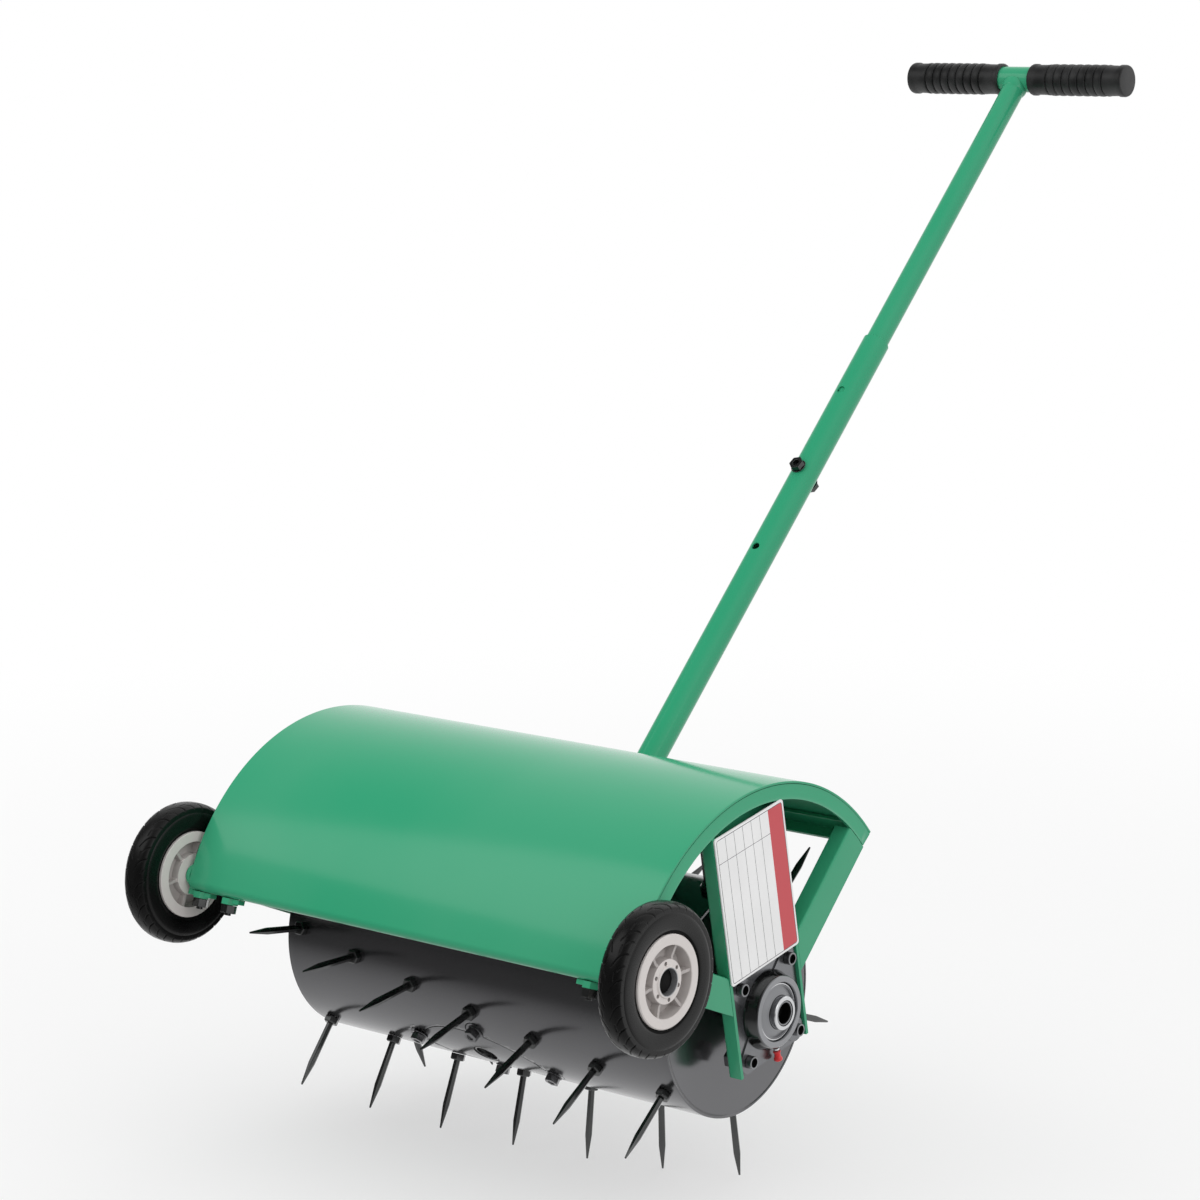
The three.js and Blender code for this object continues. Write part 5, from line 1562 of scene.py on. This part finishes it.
class AERATOR_OT_drum(bpy.types.Operator):
    """Rolls the drum's shell, closes its ends and fits the filling hatch"""

    bl_idname = "aerator.drum"
    bl_label = "Drum"

    def execute(self, context):
        paint = ("drum_paint", ["drum_gloss"], "drum")
        shell = combined("shell", shell_shape(), [hatch_columns(HATCH_SEAM)], "DIFFERENCE")
        finish_piece("shell", shell, *paint, ["drum_shell"], bevel=0)
        hole = Shape()
        hatch_post(hole, rod(60, 110, FILL_HOLE_RADIUS), (0, 0), 48)
        plate = shape_of(combined("hatch", shell_shape(), [hatch_columns(0)], "INTERSECT"))
        plate = combined("hatch", plate, [hole], "DIFFERENCE")
        finish_piece("hatch", plate, *paint, ["hatch_plate"], bevel=0.25, crease=50)
        bolts = Shape()
        foot, seat = DRUM_RADIUS - SHELL_THICKNESS, DRUM_RADIUS
        top, radius = seat + HATCH_BOLT_HEIGHT, hex_radius(HATCH_BOLT_FLATS)
        head = [(foot, 0), (foot, 2.6), (seat + 1.2, 2.6), (seat + 1.2, radius), (top, radius)]
        head += [(top, 3.4), (top - 1.4, 3), (top - 1.4, 0)]
        for place in HATCH_BOLTS:
            hatch_post(bolts, pipe(seat, seat + 1, 4, 7), place, 32)
            hatch_post(bolts, head, place, 6, 0.2)
        finish_piece("hatch_bolts", bolts, *paint, ["hatch_plate"], bevel=0.35)
        plug = Shape()
        top = DRUM_RADIUS - HATCH_SEAM
        radius = FILL_HOLE_RADIUS - GAP
        profile = [(top - 5, 0), (top - 5, radius), (top - 0.6, radius), (top, radius - 0.6)]
        profile += [(top, radius - 2), (top - 2.6, radius - 2.4), (top - 2.6, 0)]
        hatch_post(plug, profile, (0, 0), 48)
        finish_piece(
            "plug", plug, "black_steel", ["blackened_steel"], "drum", ["fill_plug"], bevel=0.2
        )
        low, high = DRUM_HALF - DRUM_END_THICKNESS, DRUM_HALF
        outer = DRUM_RADIUS - SHELL_THICKNESS
        bore = SHAFT_RADIUS + GAP
        profile = [(low, bore), (low, outer), (high, outer), (high, outer - 0.5), (high, 60)]
        profile += [(high, 17.5), (high, 17), (high + 2.6, 16), (high + 2.6, bore)]
        for name, side in SIDES.items():
            disc = Shape().turned(profile, 192)
            nodes = [f"drum_end_{name}"]
            finish_piece(f"end_disc_{name}", disc, *paint, nodes, at_end(side), bevel=0)
        shaft = Shape()
        profile = [(SHAFT_END - 1.4, 0), (SHAFT_END - 1.4, SHAFT_BORE_RADIUS)]
        profile += [(SHAFT_END, SHAFT_BORE_RADIUS), (SHAFT_END, SHAFT_RADIUS - 0.6)]
        profile.append((SHAFT_END - 0.6, SHAFT_RADIUS))
        mirrored = [(-x, radius) for x, radius in profile]
        shaft.turned(mirrored + profile[::-1], 64)
        shaft.turned(rod(-SHAFT_END + 1.2, SHAFT_END - 1.2, SHAFT_BORE_RADIUS - 0.05), 64)
        # painted shade: the shaft's end faces and the core in them take the near-black hollow
        # finish
        shaft = refinished(mesh_of(shaft, "shaft"), 1, lambda x, radius: abs(x) > SHAFT_END - 2)
        steel = ["polished_steel", "dark_hollow"]
        finish_piece("shaft", shaft, "bright_steel", steel, "drum", ["drum_shaft"], bevel=0)
        return {"FINISHED"}


class AERATOR_OT_spikes(bpy.types.Operator):
    """Screws six helical rows of spikes into the drum"""

    bl_idname = "aerator.spikes"
    bl_label = "Spikes"

    def execute(self, context):
        widest = context.scene.aerator_sizes.spike_width / 2
        radius, high = hex_radius(SPIKE_COLLAR_FLATS), SPIKE_COLLAR_HEIGHT
        collar = [(0, 0), (0, radius), (high - 0.8, radius), (high, radius - 1)]
        collar += [(high, 3.4), (high, 0)]
        blade = [(high + 0.05, 0), (high + 0.05, widest * 0.93), (SPIKE_LENGTH * 0.68, widest)]
        blade += [(SPIKE_LENGTH - 0.6, 0.9), (SPIKE_LENGTH, 0)]
        spike = Shape().turned_up(collar, 6).turned_up(blade, 6)
        sizes = {
            "Rows": SPIKE_ROWS, "Copies per Row": SPIKES_PER_ROW, "Pitch": float(SPIKE_PITCH),
            "Twist": math.radians(SPIKE_TWIST), "First Angle": math.radians(FIRST_ROW_ANGLE),
            "Radius": SPIKE_SEAT,
        }
        mesh = repeated("spikes", helix_tree(), spike, "blackened_steel", sizes, bevel=0.2)
        nodes = [f"spike_row_{i}" for i in range(1, SPIKE_ROWS + 1)]
        finish_piece("spikes", mesh, "black_steel", ["blackened_steel"], "drum", nodes, bevel=0)
        return {"FINISHED"}


# Handle


def hood_crossing():
    """How far from the drum's axis the handle's axis leaves the hood."""
    dy, dz = around(1, HANDLE_ANGLE)
    b = HOOD_CENTRE[0] * dy + HOOD_CENTRE[1] * dz
    return b + math.sqrt(b * b - HOOD_CENTRE[0] ** 2 - HOOD_CENTRE[1] ** 2 + HOOD_RADIUS**2)


def lower_tube_mesh(low):
    """The lower tube, up the handle's axis, with rounded ends and cross holes."""
    high, radius = LOWER_TUBE_TOP, LOWER_TUBE_RADIUS
    inner = radius - TUBE_WALL
    ends, strips = 0.5, 24
    length = high - low - 2 * ends
    profile = [(low, inner), (low, radius - ends), (low + ends, radius)]
    profile += [(low + ends + length * i / strips, radius) for i in range(1, strips)]
    profile += [(high - ends, radius), (high, radius - ends), (high, inner)]
    tube = Shape().turned_up(profile, 72)
    tools = []
    for distance in HOLE_DISTANCES:
        tool = Shape(shift(0, 0, distance)).turned_back(
            rod(-3 * radius, 3 * radius, HOLE_RADIUS), 32
        )
        tools.append(tool)
    return combined("lower", tube, tools, "DIFFERENCE")


def base_plate_mesh(seat):
    """The curved plate on the hood and its welded collar, bored from the lower tube's seat up."""
    low = HOOD_RADIUS + GAP
    rear = HANDLE_ANGLE - hood_angle(BASE_PLATE_REAR)
    front = HANDLE_ANGLE + hood_angle(BASE_PLATE_FRONT)
    outline = arc(low + BASE_PLATE_THICKNESS, rear, front, 16) + arc(low, front, rear, 16)
    plate = Shape().prism(outline, -BASE_PLATE_HALF, BASE_PLATE_HALF)
    foot = hood_crossing() + 1.6
    profile = [(foot, 0), (foot, 19.2), (foot + 1.6, 17.6), (foot + 4, 16)]
    profile += [(foot + 8, 14.8), (foot + 12.6, 14.2), (foot + 13.2, 13.6), (foot + 13.2, 0)]
    collar = Shape(turn(HANDLE_ANGLE)).turned_up(profile, 64)
    whole = shape_of(combined("base_plate", plate, [collar], "UNION"))
    bore = rod(seat - GAP, seat + 90, LOWER_TUBE_RADIUS + GAP)
    socket = Shape(turn(HANDLE_ANGLE)).turned_up(bore, 64)
    return combined("base_plate", whole, [socket], "DIFFERENCE")


def base_bolts_shape():
    """Two bolts through the plate and the hood, with painted washers and nuts."""
    bolts = Shape()
    seat = HOOD_RADIUS + BASE_PLATE_THICKNESS + 2 * GAP
    under = HOOD_RADIUS - SHEET_THICKNESS - 2 * GAP
    for side in SIDES.values():
        centre = (side * BASE_BOLT_OFFSET, *HOOD_CENTRE)
        bolts.placed = shift(*centre) @ turn(HANDLE_ANGLE + hood_angle(BASE_BOLT_ADVANCE))
        bolts.finish = 1
        bolts.turned_up(pipe(seat + 0.7, seat + 4.5, 3, hex_radius(BASE_BOLT_FLATS)), 6)
        bolts.turned_up(rod(under - 6, seat + 3.6, 2.9), 24)
        bolts.finish = 0
        bolts.turned_up(pipe(seat, seat + 0.6, 3, 6.2), 32)
        bolts.turned_up(pipe(under - 4.6, under, 3, hex_radius(BASE_BOLT_FLATS)), 6)
    return bolts


def height_bolt_shape():
    """The bolt across the lower tube, with its head, its nut and a washer under each."""
    seat = LOWER_TUBE_RADIUS + GAP
    bolt = Shape(shift(0, 0, BOLT_DISTANCE))
    bolt.turned_back(rod(-seat - 2, seat + 7, HEIGHT_BOLT_RADIUS), 32)
    for face, height in ((-1, 6), (1, 5.4)):
        ends = sorted((face * (seat + 0.9), face * (seat + height)))
        bolt.turned_back(pipe(*ends, 3.4, hex_radius(HEIGHT_BOLT_FLATS)), 6, 0.25)
        ends = sorted((face * seat, face * (seat + 0.8)))
        bolt.turned_back(pipe(*ends, 3.4, 7.2), 36)
    return bolt


def upper_tube_mesh():
    """The upper tube, from the height bolt to its weld on the cross tube."""
    foot = BOLT_DISTANCE + HEIGHT_BOLT_RADIUS + GAP
    inner = UPPER_TUBE_RADIUS - TUBE_WALL
    tube = Shape().turned_up(pipe(foot, CROSS_TUBE_DISTANCE, inner, UPPER_TUBE_RADIUS), 72)
    profile = [(-3, UPPER_TUBE_RADIUS - 0.6), (-1.6, UPPER_TUBE_RADIUS + 0.5)]
    profile += [(1.6, UPPER_TUBE_RADIUS + 1.5), (7, UPPER_TUBE_RADIUS + 1.3), (7, 10.2)]
    weld = Shape(shift(0, 0, CROSS_TUBE_DISTANCE - CROSS_TUBE_RADIUS - 1.6)).turned_up(profile, 72)
    saddle = Shape(shift(0, 0, CROSS_TUBE_DISTANCE))
    saddle.turned(rod(-40, 40, CROSS_TUBE_RADIUS + GAP), 72)
    whole = shape_of(combined("inner_tube", tube, [weld], "UNION"))
    return combined("inner_tube", whole, [saddle], "DIFFERENCE")


class AERATOR_OT_handle(bpy.types.Operator):
    """Stands the telescopic handle on the hood, with its plate, bolts and cross tube"""

    bl_idname = "aerator.handle"
    bl_label = "Handle"

    def execute(self, context):
        green, black = ("green_paint", ["hood_green"]), ("black_steel", ["blackened_steel"])
        mixed_bolts = ("green_paint", ["hood_green", "blackened_steel"])
        start = hood_crossing() + BASE_PLATE_THICKNESS + 2 * GAP
        plate, tube = base_plate_mesh(start), lower_tube_mesh(start)
        nodes = ["base_bolt_left", "base_bolt_right"]
        finish_piece("base_plate", plate, *green, "frame", ["handle_base_plate"], bevel=0.5)
        finish_piece("base_bolts", base_bolts_shape(), *mixed_bolts, "frame", nodes, bevel=0.35)
        finish_piece("outer_tube", tube, *green, "frame", ["lower_tube"], HANDLE, 0.15, 40)
        bolt = height_bolt_shape()
        finish_piece("adjusting_bolt", bolt, *black, "frame", ["height_bolt"], HANDLE, 0.5)
        tube = upper_tube_mesh()
        finish_piece("inner_tube", tube, *green, "handle_top", ["upper_tube"], HANDLE, 0.15, 40)
        half = GRIP_START + GRIP_LENGTH - GRIP_END - GAP
        cross = Shape(shift(0, 0, CROSS_TUBE_DISTANCE))
        cross.turned(pipe(-half, half, CROSS_TUBE_RADIUS - TUBE_WALL, CROSS_TUBE_RADIUS), 72)
        finish_piece("top_bar", cross, *green, "handle_top", ["cross_tube"], HANDLE, 0.2)
        return {"FINISHED"}


class AERATOR_OT_grips(bpy.types.Operator):
    """Moulds the two grooved grips on the cross tube"""

    bl_idname = "aerator.grips"
    bl_label = "Grips"

    def execute(self, context):
        settings = context.scene.aerator_sizes
        start, end = GRIP_START, GRIP_START + GRIP_LENGTH
        middle = (start + end) / 2
        inner = CROSS_TUBE_RADIUS + GAP
        profile = [(start, inner), (start, GRIP_RADIUS - 1.4), (start + 0.5, GRIP_RADIUS - 0.5)]
        profile += [
            (start + 1.6, GRIP_RADIUS), (start + 5, GRIP_RADIUS), (start + 6.6, GRIP_RADIUS - 0.9)
        ]
        count = settings.grip_grooves
        first = middle - (count - 1) / 2 * settings.groove_pitch
        profile.append((first - 5, GRIP_RADIUS - 0.8))
        for i in range(count):
            x = first + i * settings.groove_pitch
            profile += [(x - 1.5, GRIP_RADIUS - 0.45), (x - 0.8, GRIP_RADIUS - 0.9)]
            profile += [(x - 0.45, GRIP_RADIUS - 2), (x + 0.45, GRIP_RADIUS - 2)]
            profile += [(x + 0.8, GRIP_RADIUS - 0.7), (x + 1.8, GRIP_RADIUS - 0.15)]
            if i < count - 1:
                profile.append((x + settings.groove_pitch / 2, GRIP_RADIUS))
        profile.append((x + 5, GRIP_RADIUS - 0.7))
        profile += [(end - 7.6, GRIP_RADIUS - 0.9), (end - 6, GRIP_RADIUS), (end - 2, GRIP_RADIUS)]
        profile += [(end - 0.6, GRIP_RADIUS - 0.5), (end, GRIP_RADIUS - 1.5), (end, 0)]
        profile += [(end - GRIP_END, 0), (end - GRIP_END, inner)]
        for name, side in SIDES.items():
            grip = Shape(shift(0, 0, CROSS_TUBE_DISTANCE)).turned(profile, 96)
            finish_piece(
                f"ribbed_grip_{name}", grip, "grip_rubber", ["grip_black"], "handle_top",
                [f"grip_{name}"], at_end(side, HANDLE), bevel=0.15, crease=40,
            )
        return {"FINISHED"}


# Stage


def area_light(name, place, size, power):
    light = bpy.data.lights.new(name, "AREA")
    light.shape = "RECTANGLE"
    light.size, light.size_y = size
    light.energy = power
    thing = bpy.data.objects.new(name, light)
    bpy.context.scene.collection.objects.link(thing)
    thing.location = place
    thing.rotation_euler = (Vector(LAMP_TARGET) - Vector(place)).to_track_quat("-Z", "Y").to_euler()


def floor_finish():
    """A floor that is plain white away from the machine and takes a soft shadow under it."""
    finish, tree, surface = new_material("pale_floor")
    surface["Roughness"].default_value = 0.9
    surface["Specular IOR Level"].default_value = 0.1
    rays = wire(tree, "ShaderNodeLightPath").outputs
    lit, seen = ((grey, grey, grey, 1) for grey in (FLOOR_GREY, SEEN_FLOOR_GREY))
    tone = blend_of(tree, rays["Is Camera Ray"], lit, seen)
    tree.links.new(tone, surface["Base Color"])
    place = wire(tree, "ShaderNodeTexCoord").outputs["Object"]
    # Polished faces see the floor in front dim, away from the machine
    behind = wire(tree, "ShaderNodeSeparateXYZ", {0: place}).outputs["Y"]
    mirrored = ramp(tree, behind, -0.9, -0.1, 0.12)
    strength = blend_of(tree, rays["Is Glossy Ray"], 1.0, mirrored, "FLOAT")
    glow = wire(tree, "ShaderNodeEmission", {"Strength": strength}).outputs[0]
    away = vector_maths(tree, "LENGTH", place)
    share = maths(tree, rays["Is Camera Ray"], rays["Is Transmission Ray"], "MAXIMUM")
    share = maths(tree, share, ramp(tree, away, 0.6, 2.2, 0.45), "MULTIPLY")
    share = maths(tree, share, rays["Is Glossy Ray"], "MAXIMUM")
    shaded = tree.nodes["Principled BSDF"].outputs[0]
    blend = wire(tree, "ShaderNodeMixShader", {0: share, 1: shaded, 2: glow}).outputs[0]
    tree.links.new(blend, tree.nodes["Material Output"].inputs["Surface"])
    finish.cycles.emission_sampling = "NONE"
    return finish


def studio_world(sky):
    """Even light all round. Polished faces see a studio whose front is dim."""
    world = bpy.data.worlds.new("studio")
    world.use_nodes = True
    world.cycles.sampling_method = "NONE"
    tree = world.node_tree
    rays = wire(tree, "ShaderNodeLightPath").outputs
    seen = maths(tree, rays["Is Camera Ray"], rays["Is Transmission Ray"], "MAXIMUM")
    way = wire(tree, "ShaderNodeTexCoord").outputs["Generated"]
    front = Vector((-0.5, -0.84, 0.2)).normalized()
    towards = vector_maths(tree, "DOT_PRODUCT", way, front)
    room = ramp(tree, towards, -0.3, 0.7, 1.0, 0.1)
    strength = blend_of(tree, rays["Is Glossy Ray"], sky, room, "FLOAT")
    strength = blend_of(tree, seen, strength, 1.0, "FLOAT")
    back = tree.nodes["Background"].inputs
    back["Color"].default_value = (1, 1, 1, 1)
    tree.links.new(strength, back["Strength"])
    return world


class AERATOR_OT_stage(bpy.types.Operator):
    """Lays a pale floor, sets soft lights and puts the camera at the photograph's angle"""

    bl_idname = "aerator.stage"
    bl_label = "Stage"

    def execute(self, context):
        scene = context.scene
        settings = scene.aerator_stage
        scene.view_settings.view_transform = "Standard"
        surface = bmesh.new()
        bmesh.ops.create_circle(surface, cap_ends=True, segments=96, radius=FLOOR_RADIUS)
        mesh = bpy.data.meshes.new("floor")
        surface.to_mesh(mesh)
        surface.free()
        mesh.materials.append(floor_finish())
        new_object("floor", mesh)
        scene.world = studio_world(settings.sky)
        for name, place, size, power in LAMPS:
            area_light(name, place, size, getattr(settings, power))
        camera = bpy.data.objects.new("camera", bpy.data.cameras.new("camera"))
        scene.collection.objects.link(camera)
        camera.location = CAMERA_PLACE
        camera.rotation_euler = Vector(CAMERA_VIEW).to_track_quat("-Z", "Y").to_euler()
        camera.data.sensor_fit = "HORIZONTAL"
        camera.data.angle = 2 * math.atan(PICTURE_WIDTH / 2 / FOCAL_LENGTH)
        camera.data.clip_end = 100
        scene.camera = camera
        return {"FINISHED"}


STEPS = [
    AERATOR_OT_stage, AERATOR_OT_hood, AERATOR_OT_side_frames, AERATOR_OT_labels,
    AERATOR_OT_bearings, AERATOR_OT_wheels, AERATOR_OT_brackets, AERATOR_OT_drum,
    AERATOR_OT_spikes, AERATOR_OT_handle, AERATOR_OT_grips,
]


class AERATOR_PT_panel(bpy.types.Panel):
    bl_idname = "AERATOR_PT_panel"
    bl_label = "Aerator"
    bl_space_type = "VIEW_3D"
    bl_region_type = "UI"
    bl_category = "Aerator"

    def draw(self, context):
        scene = context.scene
        for settings in (scene.aerator_finishes, scene.aerator_sizes, scene.aerator_stage):
            box = self.layout.box()
            for key in settings.__annotations__:
                box.prop(settings, key)
        for step in STEPS:
            self.layout.operator(step.bl_idname)


SETTINGS = {
    "aerator_finishes": AeratorFinishes, "aerator_sizes": AeratorSizes,
    "aerator_stage": AeratorStage,
}


def register():
    for key, group in SETTINGS.items():
        bpy.utils.register_class(group)
        setattr(bpy.types.Scene, key, PointerProperty(type=group))
    for step in STEPS:
        bpy.utils.register_class(step)
    bpy.utils.register_class(AERATOR_PT_panel)


def unregister():
    bpy.utils.unregister_class(AERATOR_PT_panel)
    for step in reversed(STEPS):
        bpy.utils.unregister_class(step)
    for key, group in SETTINGS.items():
        delattr(bpy.types.Scene, key)
        bpy.utils.unregister_class(group)


def main():
    register()
    for step in STEPS:
        area, name = step.bl_idname.split(".")
        getattr(getattr(bpy.ops, area), name)()


if __name__ == "__main__":
    main()
